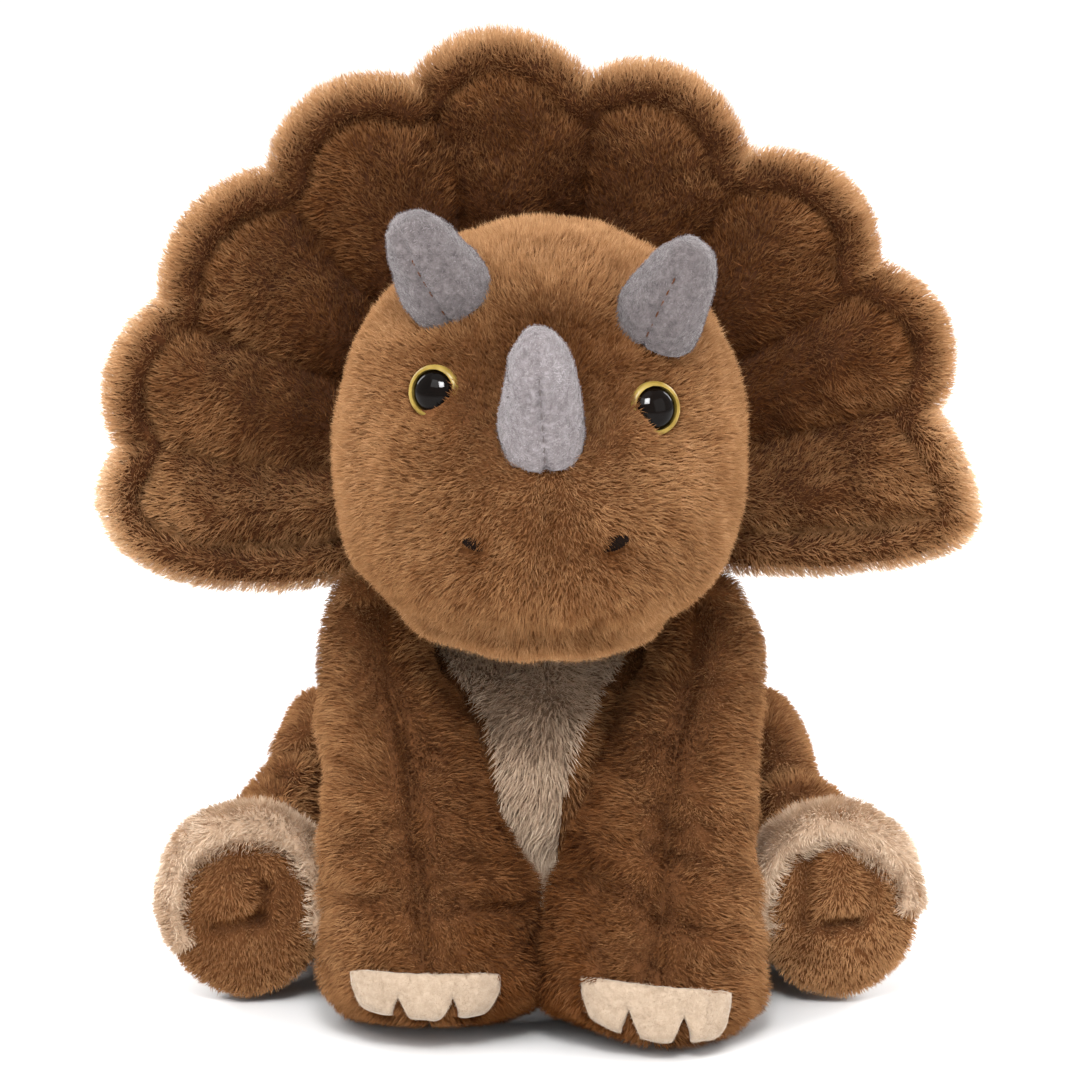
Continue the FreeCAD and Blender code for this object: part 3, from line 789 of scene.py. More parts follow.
def puff(sign):
    ring_d = np.abs(edge_d - ROLLW)
    soft = 0.45 + 0.4 * noise(P3, 70, 57).reshape(X.shape)      # how strongly the inner line is pulled in
    soft = np.clip(soft, 0.05, 0.95)
    d = np.minimum(rad_d, ring_d + (1 - soft) * 6.0)
    panel = 0.8 + 7.6 * (1 - np.exp(-(d / 7.5) ** 1.1))
    t = np.clip(np.abs(edge_d - ROLLW / 2) / (ROLLW / 2), 0, 1)
    rim = 0.9 + 4.2 * np.sqrt(1 - t * t) * (1 - 0.6 * np.exp(-rad_d / 3.0))
    mix = np.clip((edge_d - ROLLW) / 5.0 + 0.5, 0, 1)
    mix = mix * mix * (3 - 2 * mix)
    h = rim * (1 - mix) + panel * mix
    h = h - 2.2 * soft * np.exp(-(ring_d / 2.4) ** 2) * (1 - np.exp(-rad_d / 4.0))
    pucker = 0.55 * np.sin(RR * 2 * math.pi / 7.5 + sign) * np.exp(-rad_d / 4.5)
    pucker += 0.45 * np.sin(np.radians(TT) * 133 / 6.0 * 1.0 + sign * 2) * np.exp(-ring_d / 3.5)
    h = h + (0.9 * nz * sign + 0.4 * nz2) * (1 - np.exp(-d / 5)) + pucker
    h[edge_d < 0.2] = 0.4
    return np.maximum(h, 0.4)


MIDY = 9.0 - 4.5 * (RR / 133) ** 2 * np.cos(np.radians(TT)) ** 2 + 2.0 * (RR / 133) ** 2 * np.sin(np.radians(TT)) ** 2
MIDY = MIDY + 1.2 * noise(P3, 90, 53).reshape(X.shape) * (RR / 133)
yf = MIDY - puff(1.0)
yb = MIDY + puff(-1.0) * 0.8
yb[:, -1] = yf[:, -1] + 0.9
front_v = np.stack([X + FC[0], yf, Z + FC[1]], -1).reshape(-1, 3)
back_v = np.stack([X + FC[0], yb, Z + FC[1]], -1).reshape(-1, 3)
nF = NU * NV
i = np.arange(NU - 1)[:, None] * NV
j = np.arange(NV - 1)[None, :]
qf = np.stack([i + j, i + NV + j, i + NV + j + 1, i + j + 1], -1).reshape(-1, 4)
qb = qf[:, ::-1] + nF
i = np.arange(NU - 1)
o_f = i * NV + NV - 1
qo = np.stack([o_f, o_f + NV, o_f + NV + nF, o_f + nF], 1)
i_f = i * NV
qi = np.stack([i_f + NV, i_f, i_f + nF, i_f + NV + nF], 1)
j = np.arange(NV - 1)
q0 = np.stack([j, j + 1, j + 1 + nF, j + nF], 1)
k = (NU - 1) * NV
q1 = np.stack([k + j + 1, k + j, k + j + nF, k + j + 1 + nF], 1)
frill = Surf(np.concatenate([front_v, back_v]), np.concatenate([qf, qb, qo, qi, q0, q1]))
frill.relax(3, 0.35)


def frill_blend(o):
    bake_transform(o)


frill_skin = frill.mesh("frill_plush_skin", BACK_DARK)
frill_blend(frill_skin)
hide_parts("frill_front_panel", "frill_batting", "frill_back_panel")


def frill_edge_dist(p):
    th = np.degrees(np.arctan2(p[:, 2] - FC[1], p[:, 0] - FC[0]))
    th = np.where(th < -90, th + 360, th)
    r = np.hypot(p[:, 0] - FC[0], p[:, 2] - FC[1])
    return frill_edge(np.clip(th, -26.2, 208.5)) - REACH - r, r, th


def frill_fur(name, keep, dens, seed, width, head_shade, scale=1.0, up=0.0):
    p, n = frill.sample(dens, seed, keep)
    ed, r, th = frill_edge_dist(p)
    edc = np.clip(ed, 0, 99)
    out = np.stack([p[:, 0] - FC[0], np.zeros(len(p)), p[:, 2] - FC[1]], 1)
    comb = unit(out - (out * n).sum(1)[:, None] * n)
    length = 4.1 + 1.3 * np.exp(-(edc / 4.0) ** 2)
    rd = np.full(len(p), 1e3)
    for a, _ in VALLEYS:
        rd = np.minimum(rd, np.abs(r * np.sin(np.radians(th - a - 2.2 * np.sin(r / 30.0 + a)))))
    line = np.maximum(np.exp(-(rd / 2.2) ** 2) * (ed > 1.5), 0.6 * np.exp(-((ed - ROLLW) / 2.2) ** 2))
    length = (length - 1.0 * line) * scale
    low = np.clip((46 - np.abs(((th + 26) % 360) - 0)) / 30, 0, 1) + np.clip((th - 168) / 15, 0, 1)
    tone = 4.35 + up + 0.45 * mottle(p, seed + 3) + 0.35 * noise(p, 7, seed + 5)
    tone += 1.9 * np.clip(low, 0, 1) + 0.8 * gauss(p, (-95, 0, 185), (25, 60, 24)) - 0.3 * (th > 12) * (th < 150)
    # painted rim light: much lighter pile within a few millimetres of the outer edge
    tone += 4.4 * np.exp(-(edc / 3.6) ** 1.5) + 0.8 * np.exp(-edc / 12.0)
    # painted shade: the pile darkens towards the head, above it and around the neck below it
    tone -= head_shade * np.clip((100 - r) / 40, 0, 1) * (p[:, 2] > 160) * 1.3
    tone -= head_shade * 1.0 * np.clip((62 - np.abs(p[:, 0])) / 22, 0, 1) * (p[:, 2] < 160)
    # painted shade: darker along the seam lines and the inner rim seam, where the pile parts
    tone -= 0.9 * line
    o = pile(name, p, n, comb, length, width, tone, BROWN, seed + 7, swirl=0.42, lift=(64, 40), jitter=0.4)
    frill_blend(o)
    return o


def behind_head(p):
    return ((p[:, 0] / 36.0) ** 2 + ((p[:, 2] - 152) / 36.0) ** 2) < 1


frill_fur("frill_front_pile_left", lambda p, n: (n[:, 1] < 0.25) & ~behind_head(p) & (p[:, 0] >= 0), 300, 501, 0.33, 1.0)
frill_fur("frill_front_pile_right", lambda p, n: (n[:, 1] < 0.25) & ~behind_head(p) & (p[:, 0] < 0), 300, 502, 0.33, 1.0)
frill_fur("frill_back_pile", lambda p, n: (n[:, 1] >= 0.25) & (np.hypot(p[:, 0], p[:, 2] - 116) > 34), 150, 521, 0.48, 0.3)
# the edge pile is a further half step lighter: painted rim light
frill_fur("frill_edge_pile", lambda p, n: frill_edge_dist(p)[0] < 5, 160, 541, 0.22, 0.0, scale=1.06, up=0.5)

# ------------------------------------------------------------------ front legs
LEG = [
    (2.2, 32.8, -79.0, 25.0, 24.0), (6.5, 32.8, -79.0, 29.6, 28.6), (14.0, 32.8, -79.0, 31.5, 30.7),
    (30.0, 33.2, -75.0, 30.6, 28.6),
    (50.0, 35.2, -65.0, 27.6, 26.2), (68.0, 38.6, -53.0, 24.6, 23.8), (84.5, 42.6, -41.0, 21.2, 21.5),
    (97.0, 47.4, -30.0, 17.9, 19.0), (106.0, 48.4, -22.5, 16.4, 16.0), (114.5, 48.2, -17.5, 13.6, 12.4)]
LIFT = {"left": 2.5, "right": 9.0}
LOW = {"left": 41.0, "right": -31.0}   # where each paw is lowest
AHEAD = {"left": -3.0, "right": 3.0}
TILT = {"left": 0.9, "right": 0.3}   # the toes run down towards one side


def stance(nm, q):
    """The own right paw is tipped up a little; the left one stands further forward."""
    q = q.copy()
    k = np.clip(1 - q[:, 2] / 70, 0, 1)
    q[:, 1] += AHEAD[nm] * k
    q[:, 2] += LIFT[nm] * k * np.clip((-q[:, 1] - 62) / 40, 0, 1)
    q[:, 2] += np.minimum(0.0072 * (q[:, 0] - LOW[nm]) ** 2, 7.5) * np.clip(1 - q[:, 2] / 50, 0, 1) * np.clip((-q[:, 1] - 68) / 28, 0, 1)
    return q


LEGS = {}
for nm, sx in (("left", 1), ("right", -1)):
    s = ring_surf(inset(LEG, PILE - 0.7, False), "z", 0.9, 122.0, nu=120, nv=116, side=sx)
    body = "front_leg_" + nm
    # a sewn seam runs down the middle of the front
    cx = spline([r[0] for r in LEG], [r[1] for r in LEG], np.clip(s.v[:, 2], 3.5, 105)) * sx
    cy = spline([r[0] for r in LEG], [r[2] for r in LEG], np.clip(s.v[:, 2], 3.5, 105))
    fr = (s.v[:, 1] < cy)
    sd = np.abs(s.v[:, 0] - cx - sx * (-1.5 + 2.0 * np.sin(s.v[:, 2] / 22.0)))
    h = -2.4 * fr * np.exp(-(sd / 2.6) ** 2) * np.clip((s.v[:, 2] - 18) / 8, 0, 1) * np.clip((100 - s.v[:, 2]) / 10, 0, 1)
    h += 0.9 * fr * (np.exp(-((sd - 9) / 6.0) ** 2)) * np.clip((s.v[:, 2] - 18) / 8, 0, 1)
    h += 0.9 * noise(s.v, 34, 91 + sx) + 0.45 * noise(s.v, 15, 95 + sx)
    inner = np.clip(-(s.v[:, 0] * sx - 26) / 20, 0, 1)
    h += 3.2 * inner * np.clip((60 - s.v[:, 2]) / 16, 0, 1)
    # slack folds over the ankle
    zc = s.v[:, 2] + 0.25 * (s.v[:, 0] - cx)
    h += 0.9 * np.sin(zc * 2 * math.pi / 15.0 + 1.2 * noise(s.v, 40, 98)) * np.exp(-((zc - 46) / 20) ** 2)
    h *= np.clip((s.v[:, 2] - 1.0) / 6.0, 0.15, 1)
    s.push(h)
    s.v = stance(nm, s.v)
    s.normals()
    LEGS[nm] = s
    o = s.mesh("front_leg_%s_plush" % nm, BACK_BROWN)
    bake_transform(o)
    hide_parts("front_leg_%s_skin" % nm, "front_leg_%s_stuffing" % nm)
    cxx = sx * 32.8
    drop = 2.2 if nm == "right" else 0.0
    yo, zo = AHEAD[nm] * 0.86, LIFT[nm] * 0.86

    def toe_zone(p, grow=0.0):
        a = np.degrees(np.arctan2(p[:, 0] - cxx, -(p[:, 1] + 79 - yo)))
        lat_ = np.minimum(0.0072 * (p[:, 0] - LOW[nm]) ** 2, 7.5) * 0.72
        p = p - np.stack([0 * lat_, 0 * lat_, lat_ - drop], 1)
        top = 18.6 - 3.5 * (np.abs(a) / 42) ** 2.4 + zo - TILT[nm] * a / 43
        u = (np.abs(a) + 14.4) % 28.8 - 14.4
        wedge = (np.abs(np.abs(a) - 14.2) < 0.62 * np.clip(12.4 + zo - TILT[nm] * a / 43 - p[:, 2], 0, 9))
        return (np.abs(a) < 42 + grow) & (p[:, 2] > 3.6 + zo * 0.9 - TILT[nm] * a / 43 - grow) & (p[:, 2] < top + grow) & ~wedge

    def keep(p, n):
        hid = (p[:, 1] > -46) & (p[:, 2] < 70) & (np.abs(p[:, 0]) < 30)
        return (p[:, 2] > 1.2) & ~toe_zone(p) & ~hid

    p, n = s.sample(370, 600 + sx, keep)
    lat = (p[:, 0] - spline([r[0] for r in LEG], [r[1] for r in LEG], np.clip(p[:, 2], 3.5, 105)) * sx)
    lat = lat - sx * (-1.5 + 2.0 * np.sin(p[:, 2] / 22.0))
    sdp = np.abs(lat)
    away = np.stack([np.sign(lat) * 0.75, np.zeros(len(p)), np.full(len(p), -0.8)], 1)
    comb = unit(away - (away * n).sum(1)[:, None] * n)
    out = np.clip((p[:, 0] * sx - 42) / 22, 0, 1)
    # painted shade: the pile is darker along the groove of the front seam
    tone = 4.55 + 0.45 * mottle(p, 610 + sx) + 0.35 * noise(p, 7, 611) + 1.6 * out ** 1.5 - 0.9 * np.exp(-(sdp / 3.2) ** 2) * (p[:, 1] < -30) * (p[:, 2] > 18)
    # painted shade: darker on the inner side, between the legs
    tone -= 1.6 * np.clip(-(p[:, 0] * sx - 30) / 16, 0, 1)
    tone += 0.4 * gauss(p, (sx * 36, -95, 60), (12, 30, 22))
    tone += 0.5 * np.clip((p[:, 2] - 84) / 20, 0, 1)
    length = 3.9 - 0.8 * np.exp(-(sdp / 3.0) ** 2) * (p[:, 1] < -30) * (p[:, 2] > 22)
    length = length + 0.8 * ((p[:, 2] > 15) & (p[:, 2] < 22) & (p[:, 1] < -85))
    o = pile("front_leg_%s_pile" % nm, p, n, comb, length, 0.3, tone, BROWN, 620 + sx, swirl=0.42, lift=(70, 48), jitter=0.4)
    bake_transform(o)
    # felt toes: one strip, two notches between three toes
    nsx, nsz = 170, 18
    HALF = 43.0
    sa_ = np.linspace(-HALF, HALF, nsx)
    zt = 20.6 - drop - 3.6 * (np.abs(sa_) / HALF) ** 2.4 - TILT[nm] * sa_ / HALF
    u = (np.abs(sa_) + 14.4) % 28.8 - 14.4               # place across each toe
    zb = 3.0 - drop * 0.7 + 2.3 * np.abs(u / 14.4) ** 2.6 - TILT[nm] * sa_ / HALF
    for c0 in (-14.4, 14.4):
        zb = np.maximum(zb, 12.2 - drop - np.abs(sa_ - c0) * 1.5 - TILT[nm] * sa_ / HALF)
    zb = np.maximum(zb, 13.0 - drop - (HALF - np.abs(sa_)) * 1.5 - TILT[nm] * sa_ / HALF)
    g = np.linspace(0, 1, nsz)
    zz = zb[:, None] + (zt - zb)[:, None] * g[None, :]
    aa = np.radians(np.repeat(sa_[:, None], nsz, 1))
    prof = spline([0, 3.5, 9, 14, 22], [25.4, 28.4, 30.2, 30.6, 30.2], zz.ravel()).reshape(zz.shape)
    edge = np.minimum(g, 1 - g)[None, :] * (zt - zb)[:, None]
    edge = np.minimum(edge, (HALF - np.abs(sa_))[:, None] * 0.52)
    for c0 in (-14.4, 14.4):
        dn = np.abs(sa_ - c0)[:, None] * 0.52
        zr = zz + drop + (TILT[nm] * sa_ / HALF)[:, None]
        edge = np.minimum(edge, np.where(zr < 13.4, np.hypot(dn * 0.8, np.maximum(zr - 12.2, 0)) + 0 * edge, edge))
    puffy = 0.9 * np.cos(np.clip(u / 14.4, -1, 1) * math.pi / 2)[:, None] * (1 - g)[None, :]
    thick = 0.35 + (1.0 + puffy) * (1 - np.exp(-(np.maximum(edge, 0) / 0.9)))
    outer = prof + thick
    inner = prof - 0.5
    ax = 1.02
    vo = stance(nm, np.stack([cxx + ax * outer * np.sin(aa), -79 - outer * np.cos(aa), zz], -1).reshape(-1, 3))
    vi = stance(nm, np.stack([cxx + ax * inner * np.sin(aa), -79 - inner * np.cos(aa), zz], -1).reshape(-1, 3))
    nF = nsx * nsz
    i = np.arange(nsx - 1)[:, None] * nsz
    j = np.arange(nsz - 1)[None, :]
    qf = np.stack([i + j, i + nsz + j, i + nsz + j + 1, i + j + 1], -1).reshape(-1, 4)
    strips = []
    i = np.arange(nsx - 1) * nsz
    strips.append(np.stack([i, i + nF, i + nsz + nF, i + nsz], 1))
    i = i + nsz - 1
    strips.append(np.stack([i, i + nsz, i + nsz + nF, i + nF], 1))
    j = np.arange(nsz - 1)
    strips.append(np.stack([j, j + 1, j + 1 + nF, j + nF], 1))
    k = (nsx - 1) * nsz
    strips.append(np.stack([k + j + 1, k + j, k + j + nF, k + j + 1 + nF], 1))
    toes = Surf(np.concatenate([vo, vi]), np.concatenate([qf, qf[:, ::-1] + nF] + strips))
    toes.push(0.12 * noise(toes.v, 7, 96))
    o = toes.mesh("front_toes_%s_felt" % nm, FELT_CREAM)
    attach(o, body)
    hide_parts("front_toes_" + nm)
    TOES = o
    p, n = toes.sample(260, 640 + sx, lambda p, n: np.hypot(p[:, 0] - cxx, p[:, 1] + 79 - yo) > np.hypot(0, 28.6))
    o = pile("front_toes_%s_fibres" % nm, p, n, comb_to(n, (0, 0, -1)), 1.0, 0.14, 1.3 + 0.5 * noise(p, 8, 9), TOE,
             650 + sx, lift=(40, 15), clump=0.0, swirl=2.0, under=0.1, jitter=1.0)
    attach(o, body)

# ------------------------------------------------------------------ hind legs
HIND = [
    (-43.5, 86.0, 30.0, 24.8, 28.6),
    (-34.0, 84.8, 30.0, 24.6, 28.6), (-22.0, 79.0, 30.6, 21.8, 28.2),
    (-8.0, 71.6, 34.4, 18.2, 32.8), (12.0, 66.8, 40.0, 16.0, 38.4),
    (32.0, 66.0, 39.6, 15.6, 36.6), (48.0, 65.6, 39.2, 13.4, 28.8)]
for nm, sx in (("left", 1), ("right", -1)):
    body = "hind_leg_" + nm
    s = ring_surf(inset(HIND, PILE - 0.5, False), "y", -45.5, 59.0, nu=110, nv=90, side=sx)
    h = 0.8 * noise(s.v, 34, 191 + sx) + 0.35 * noise(s.v, 14, 195 + sx)
    h *= np.clip((s.v[:, 2]) / 6.0, 0.1, 1)
    # the ankle crease behind the cream band
    h -= 1.6 * np.exp(-((s.v[:, 1] + 25) / 3.0) ** 2) * (s.v[:, 2] > 14)
    # folds of the thigh
    zf = s.v[:, 2] + 0.5 * s.v[:, 1]
    h += 1.1 * np.sin(zf * 2 * math.pi / 21.0 + 1.5 * noise(s.v, 50, 188)) * np.exp(-((s.v[:, 1] + 2) / 20) ** 2)
    s.push(h)
    s.v[:, 2] = np.maximum(s.v[:, 2], 0.9)
    s.normals()
    o = s.mesh("hind_leg_%s_plush" % nm, BACK_BROWN)
    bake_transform(o)
    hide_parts("hind_leg_%s_skin" % nm, "hind_leg_%s_stuffing" % nm)

    def in_band(p):
        return (p[:, 1] < -31) & (p[:, 2] > 18)

    p, n = s.sample(240, 700 + sx, lambda p, n: ~in_band(p) & (p[:, 1] > -44.6) & (p[:, 2] > 1.2)
                    & ~((p[:, 0] * sx < 53) & (p[:, 1] > -5) & (p[:, 2] < 60)))
    comb = comb_to(n, (sx * 0.2, 0.55, -0.8))
    # painted shade: the own right hind leg is half a step darker than the left
    tone = (5.9 if nm == "left" else 5.4) + 0.5 * mottle(p, 710 + sx) + 1.3 * np.clip((p[:, 0] * sx - 78) / 20, 0, 1)
    o = pile("hind_leg_%s_pile" % nm, p, n, comb, 4.0, 0.36, tone, BROWN, 720 + sx, swirl=0.42, lift=(66, 42), jitter=0.35)
    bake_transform(o)
    # cream band: a padded roll that arches over the sole
    na, nb = 120, 26
    ang = np.radians(np.linspace({"left": -8, "right": -34}[nm], 205, na))
    rows = []
    for a in ang:
        for k in range(nb):
            t = 2 * math.pi * k / nb
            e = 1.0
            endf = min(1.0, 0.35 + 6.0 * min(abs(a - ang[0]), abs(a - ang[-1])))
            thick = 5.6 * endf * (0.72 + 0.28 * max(0.0, math.sin(a)))
            rr = 1.0 + (thick * math.cos(t)) / 22.5
            x = 85.2 + 21.2 * rr * math.cos(a)
            z = 30.0 + 22.4 * rr * math.sin(a)
            y = -41.5 - 9.6 * endf * math.sin(t)
            rows.append((sx * x, y, z))
    vb = np.array(rows)
    i = np.arange(na - 1)[:, None] * nb
    j = np.arange(nb)[None, :]
    k = (j + 1) % nb
    qd = np.stack([i + j, i + k, i + nb + k, i + nb + j], -1).reshape(-1, 4)
    c0 = vb[:nb].mean(0)
    c1 = vb[-nb:].mean(0)
    vb = np.concatenate([vb, [c0, c1]])
    j = np.arange(nb)
    k = (j + 1) % nb
    e0 = np.stack([k, j, np.full(nb, len(vb) - 2)], 1)
    b0 = (na - 1) * nb
    e1 = np.stack([b0 + j, b0 + k, np.full(nb, len(vb) - 1)], 1)
    band = Surf(vb, qd, np.concatenate([e0, e1]))
    band.push(0.5 * noise(band.v, 22, 197 + sx) + 0.3 * noise(band.v, 9, 198))
    o = band.mesh("hind_foot_band_%s_plush" % nm, BACK_CREAM)
    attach(o, body)
    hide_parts("hind_foot_band_" + nm)
    p, n = band.sample(330, 740 + sx)
    out = np.stack([p[:, 0] - sx * 85.6, np.zeros(len(p)), p[:, 2] - 30.4], 1)
    comb = comb_to(n, (0, -1, 0)) * 0.6 - unit(out) * 0.35 + comb_to(n, (sx * 0.6, 0, 0)) * 0.5
    comb = unit(comb - (comb * n).sum(1)[:, None] * n)
    o = pile("hind_foot_band_%s_pile" % nm, p, n, comb, 4.0, 0.32, 2.7 + 0.4 * mottle(p, 750 + sx), CREAM, 760 + sx,
             swirl=0.55, lift=(66, 42))
    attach(o, body)
    # sole: a stuffed oval with a dimple stitch that makes three toe pads
    nr, nt_ = 46, 120
    rr = np.linspace(0, 1, nr + 1)[1:]
    tt = np.arange(nt_) * 2 * math.pi / nt_
    R_, T_ = np.meshgrid(rr, tt, indexing="ij")
    x = 23.0 * R_ * np.cos(T_)
    z = 26.6 * R_ * np.sin(T_)
    dome = 5.6 * np.sqrt(np.clip(1 - R_ ** 2.6, 0, 1))
    P2 = np.stack([x, z], -1)

    def seg(a, b, w):
        a, b = np.array(a, float), np.array(b, float)
        d = b - a
        t = np.clip(((P2 - a) @ d) / (d @ d), 0, 1)
        q = P2 - (a + t[..., None] * d)
        return np.exp(-((q ** 2).sum(-1)) / w ** 2)

    m_ = sx
    if nm == "left":       # a tall toe on the outer side, a round one in the middle, a low wide pad
        dent = 2.9 * seg((-7, 19), (-8.5, -3), 2.6) + 1.7 * seg((8.5, 13), (10, 1), 2.4)
        dent += 3.6 * seg((-2.5, -4.5), (6.5, -3.5), 2.4) + 1.5 * seg((-9, -5), (-12, -13), 2.6)
        dent -= 1.6 * np.exp(-((x - 1.5) ** 2 + (z - 5) ** 2) / 42) + 1.0 * np.exp(-((x - 3) ** 2 + (z + 14) ** 2) / 60)
    else:                  # a rounded toe cut off by a curved crease
        dent = 1.8 * seg((0, 14), (6, 6), 2.6) + 3.2 * seg((6, 6), (4, -3), 2.4)
        dent += 2.4 * seg((4, -3), (-8, -5), 2.6) + 1.4 * seg((12, 10), (12, -3), 2.4)
        dent -= 1.8 * np.exp(-((x + 4) ** 2 + (z - 5) ** 2) / 42)
    depth = dome - dent * np.clip((1 - R_) * 4, 0, 1)
    CREASE = (sx, dent * np.clip((1 - R_) * 4, 0, 1))
    ys = -45.2 - depth
    vf = np.stack([sx * 86 + x, ys, 29.6 + z], -1).reshape(-1, 3)
    vs = [vf, [[sx * 86, float(ys[0].mean()), 29.6]], [[sx * 86, -43.0, 29.6]]]
    ring_back = np.stack([sx * 86 + 22.6 * np.cos(tt), np.full(nt_, -43.6), 29.6 + 26.2 * np.sin(tt)], 1)
    allv = np.concatenate(vs + [ring_back])
    i = np.arange(nr - 1)[:, None] * nt_
    j = np.arange(nt_)[None, :]
    k = (j + 1) % nt_
    qd = np.stack([i + j, i + k, i + nt_ + k, i + nt_ + j], -1).reshape(-1, 4)
    j = np.arange(nt_)
    k = (j + 1) % nt_
    cf, cb, rb = nr * nt_, nr * nt_ + 1, nr * nt_ + 2
    last = (nr - 1) * nt_
    q2 = np.stack([last + j, last + k, rb + k, rb + j], 1)
    t0 = np.stack([k, j, np.full(nt_, cf)], 1)
    t1 = np.stack([rb + j, rb + k, np.full(nt_, cb)], 1)
    sole = Surf(allv, np.concatenate([qd, q2]), np.concatenate([t0, t1]))
    sole.push(0.35 * noise(sole.v, 15, 199 + sx))
    o = sole.mesh("hind_sole_%s_plush" % nm, BACK_BROWN)
    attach(o, body)
    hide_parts("hind_sole_" + nm)
    p, n = sole.sample(330, 770 + sx, lambda p, n: p[:, 1] < -44.5)
    lx, lz = (p[:, 0] - sx * 86), p[:, 2] - 29.6
    kd = KDTree(len(vf))
    for i_, q_ in enumerate(vf):
        kd.insert(q_, i_)
    kd.balance()
    dv = CREASE[1].ravel()
    dent_at = np.array([dv[kd.find(q_)[1]] for q_ in p])
    comb = comb_away(p, n, (sx * 86 + sx * 1, -50, 46))
    # painted shade: the own right sole is a step darker than the left, and the pile is darker in the stitched dents
    tone = (6.2 if nm == "left" else 5.2) + 0.45 * mottle(p, 780 + sx) - 0.7 * np.clip(dent_at, 0, 4) ** 0.8
    tone += 0.9 * np.clip((np.hypot(lx / 23, lz / 26.6) - 0.75) / 0.2, 0, 1) * (lz < 5)
    o = pile("hind_sole_%s_pile" % nm, p, n, comb, 2.7 - 0.25 * np.clip(dent_at, 0, 4), 0.32, tone, BROWN, 790 + sx, swirl=0.5, lift=(66, 44), jitter=0.4)
    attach(o, body)

# ------------------------------------------------------------------ the tail
TAIL = [(74.0, 0, 20.4, 17.2, 17.2), (84.0, 0, 19.8, 16.6, 16.6), (96.0, 0, 18.4, 15.2, 15.2), (110.0, 0, 15.6, 12.2, 12.2),
        (122.0, 0, 13.0, 8.2, 8.2), (128.5, 0, 11.8, 5.0, 5.0)]
tail = ring_surf(inset(TAIL, PILE - 0.6, False), "y", 68.0, 131.0, nu=80, nv=60)
tail.push(0.5 * noise(tail.v, 22, 291))
o = tail.mesh("tail_plush", BACK_BROWN)
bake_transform(o)
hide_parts("tail_skin", "tail_stuffing")
p, n = tail.sample(230, 292, lambda p, n: (p[:, 1] > 74) & (p[:, 2] > 1.2))
o = pile("tail_pile", p, n, comb_to(n, (0, 1, -0.3)), 4.3, 0.38, 5.0 + 0.55 * mottle(p, 293), BROWN, 294, lift=(64, 38))
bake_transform(o)

# ------------------------------------------------------------------ the torso
TORSO = [
    (3.5, 0, 20, 45.5, 55.5), (14.0, 0, 18, 49.6, 61.6), (32.0, 0, 15, 50.2, 63.6),
    (50.0, 0, 9, 50.2, 60.8), (66.0, 0, 4, 50.6, 56.8), (76.0, 0, 2, 53.0, 52.4), (85.0, 0, 3, 57.4, 47.0),
    (94.0, 0, 5, 59.4, 39.8), (101.5, 0, 8, 55.0, 31.5), (107.0, 0, 10, 46.0, 22.0)]
torso = ring_surf(inset(TORSO, PILE - 0.5, False), "z", 0.9, 110.5, nu=150, nv=110)
h = 0.9 * noise(torso.v, 40, 391) + 0.3 * noise(torso.v, 15, 392)
h *= np.clip((torso.v[:, 2] - 1.0) / 6.0, 0.1, 1)
h += 2.5 * gauss(torso.v, (0, -52, 74), (20, 30, 22))
h += 8.0 * gauss(torso.v, (60, 6, 90), (16, 26, 12)) + 2.5 * gauss(torso.v, (-60, 6, 88), (16, 26, 14))
# centre back seam
h -= 1.2 * np.exp(-(torso.v[:, 0] / 1.8) ** 2) * (torso.v[:, 1] > 20)
torso.push(h)
o = torso.mesh("body_plush_skin", [BACK_BROWN, BACK_BEIGE])


def chest_zone(p):
    w = np.interp(p[:, 2], [18, 24, 60, 74, 84, 92, 100, 108, 112], [0.0, 4.5, 8.0, 9.5, 13.0, 20.0, 28.0, 40.0, 48.0])
    return (np.abs(p[:, 0] + 2.0) < w) & (p[:, 1] < -9)


me = o.data
cent = np.array([q.center for q in me.polygons]) / MM - SHIFT
me.polygons.foreach_set("material_index", chest_zone(cent).astype(np.int32))
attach(o, "torso")
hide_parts("torso_skin", "chest_panel", "torso_stuffing", "seat_bag", "seat_pellets")


def torso_keep(p, n):
    hid = (np.abs(p[:, 0]) > 38) & (p[:, 1] > -8) & (p[:, 1] < 40) & (p[:, 2] < 62)
    hid2 = (p[:, 1] < -24) & (np.abs(p[:, 0]) > 22) & (p[:, 2] < 40)
    return (p[:, 2] > 1.4) & ~chest_zone(p) & ~hid & ~hid2 & (p[:, 2] < 110)


p, n = torso.sample(220, 393, torso_keep)
comb = comb_to(n, (0, 0.1, -1))
o = pile("body_plush_pile", p, n, comb, 4.4, 0.38, 5.3 + 0.55 * mottle(p, 394), BROWN, 395, lift=(64, 38))
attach(o, "torso")
p, n = torso.sample(320, 396, lambda p, n: chest_zone(p) & (p[:, 2] > 8) & (p[:, 2] < 108))
comb = comb_to(n, (0, 0, -1))
# painted light: the top of the chest, in the head's shadow, is lighter
tone = 4.3 + 0.45 * mottle(p, 397) + 1.3 * np.clip((66 - p[:, 2]) / 26, 0, 1) + 1.5 * np.clip((p[:, 2] - 82) / 14, 0, 1)
o = pile("chest_plush_pile", p, n, comb, 6.6, 0.36, tone, BEIGE, 398, swirl=0.3, lift=(62, 30))
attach(o, "torso")

# ------------------------------------------------------------------ the hard parts from CAD
for o in list(bpy.context.scene.objects):
    nd = o.get("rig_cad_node")
    if not nd or o.hide_render or o.type != "MESH":
        continue
    if nd.startswith("eye_iris"):
        m = EYE_GOLD
    elif nd.startswith("eye_washer"):
        m = WASHER
    elif nd.startswith("eye_"):
        m = EYE_BLACK
    else:
        continue
    o.data.materials.clear()
    o.data.materials.append(m)
    for q in o.data.polygons:
        q.material_index = 0

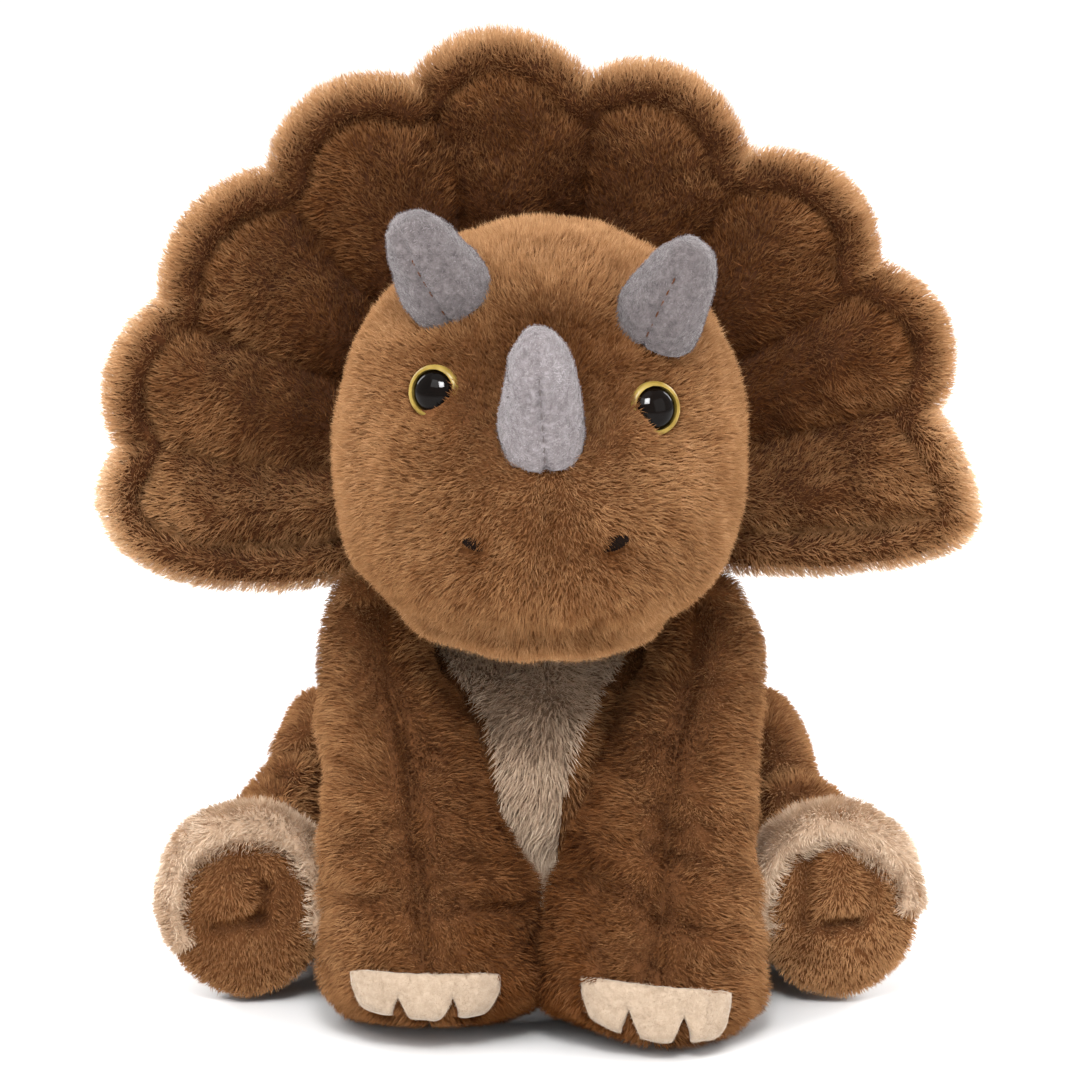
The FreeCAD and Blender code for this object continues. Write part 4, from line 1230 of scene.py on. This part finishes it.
# ------------------------------------------------------------------ studio
floor_me = bpy.data.meshes.new("floor")
floor_me.from_pydata([(-14, -14, 0), (14, -14, 0), (14, 14, 0), (-14, 14, 0)], [], [(0, 1, 2, 3)])
floor = bpy.data.objects.new("floor", floor_me)
fm = bpy.data.materials.new("studio_floor")
fm.use_nodes = True
fm.node_tree.nodes["Principled BSDF"].inputs["Base Color"].default_value = (0.9, 0.9, 0.9, 1)
fm.node_tree.nodes["Principled BSDF"].inputs["Roughness"].default_value = 0.9
floor_me.materials.append(fm)
bpy.context.scene.collection.objects.link(floor)


def area(name, loc, size, energy, at=(0, 0, 0.13), colour=(1, 1, 1), gloss_only=False):
    l = bpy.data.lights.new(name, "AREA")
    l.size = size
    l.energy = energy
    l.color = colour
    o = bpy.data.objects.new(name, l)
    bpy.context.scene.collection.objects.link(o)
    o.location = loc
    o.rotation_euler = (Vector(at) - Vector(loc)).to_track_quat("-Z", "Y").to_euler()
    if gloss_only:
        o.visible_diffuse = False


area("key", (-0.75, -1.25, 1.35), 0.9, 12)
area("fill", (1.2, -1.0, 0.7), 1.1, 5)
area("rim_left", (-1.0, 0.8, 0.8), 0.7, 19)
area("rim_right", (1.0, 0.8, 0.8), 0.7, 22)
area("front", (0.0, -1.8, 1.75), 0.5, 27.0, at=(0, -0.1, 0.18))
area("eye_sparkle", (0.0, -1.85, 1.7), 0.9, 230.0, at=(0, -0.1, 0.18), gloss_only=True)
sun = bpy.data.objects.new("top_sun", bpy.data.lights.new("top_sun", "SUN"))
sun.data.energy = 0.4
sun.data.angle = math.radians(50)
sun.rotation_euler = (math.radians(18), math.radians(-12), 0)
bpy.context.scene.collection.objects.link(sun)
world = bpy.data.worlds.new("studio")
bpy.context.scene.world = world
world.use_nodes = True
world.node_tree.nodes["Background"].inputs[0].default_value = (1, 1, 1, 1)
world.node_tree.nodes["Background"].inputs[1].default_value = 0.85
bpy.context.scene.view_settings.view_transform = "Standard"

cam = bpy.data.objects.new("camera", bpy.data.cameras.new("camera"))
bpy.context.scene.collection.objects.link(cam)
D, EL = 2.4, math.radians(12)
cam.location = (0.0, -D * math.cos(EL), 0.127 + D * math.sin(EL))
cam.rotation_euler = (math.pi / 2 - EL, 0, 0)
cam.data.sensor_width = 36
cam.data.lens = 36 * D / 0.318
cam.data.clip_end = 20
bpy.context.scene.camera = cam
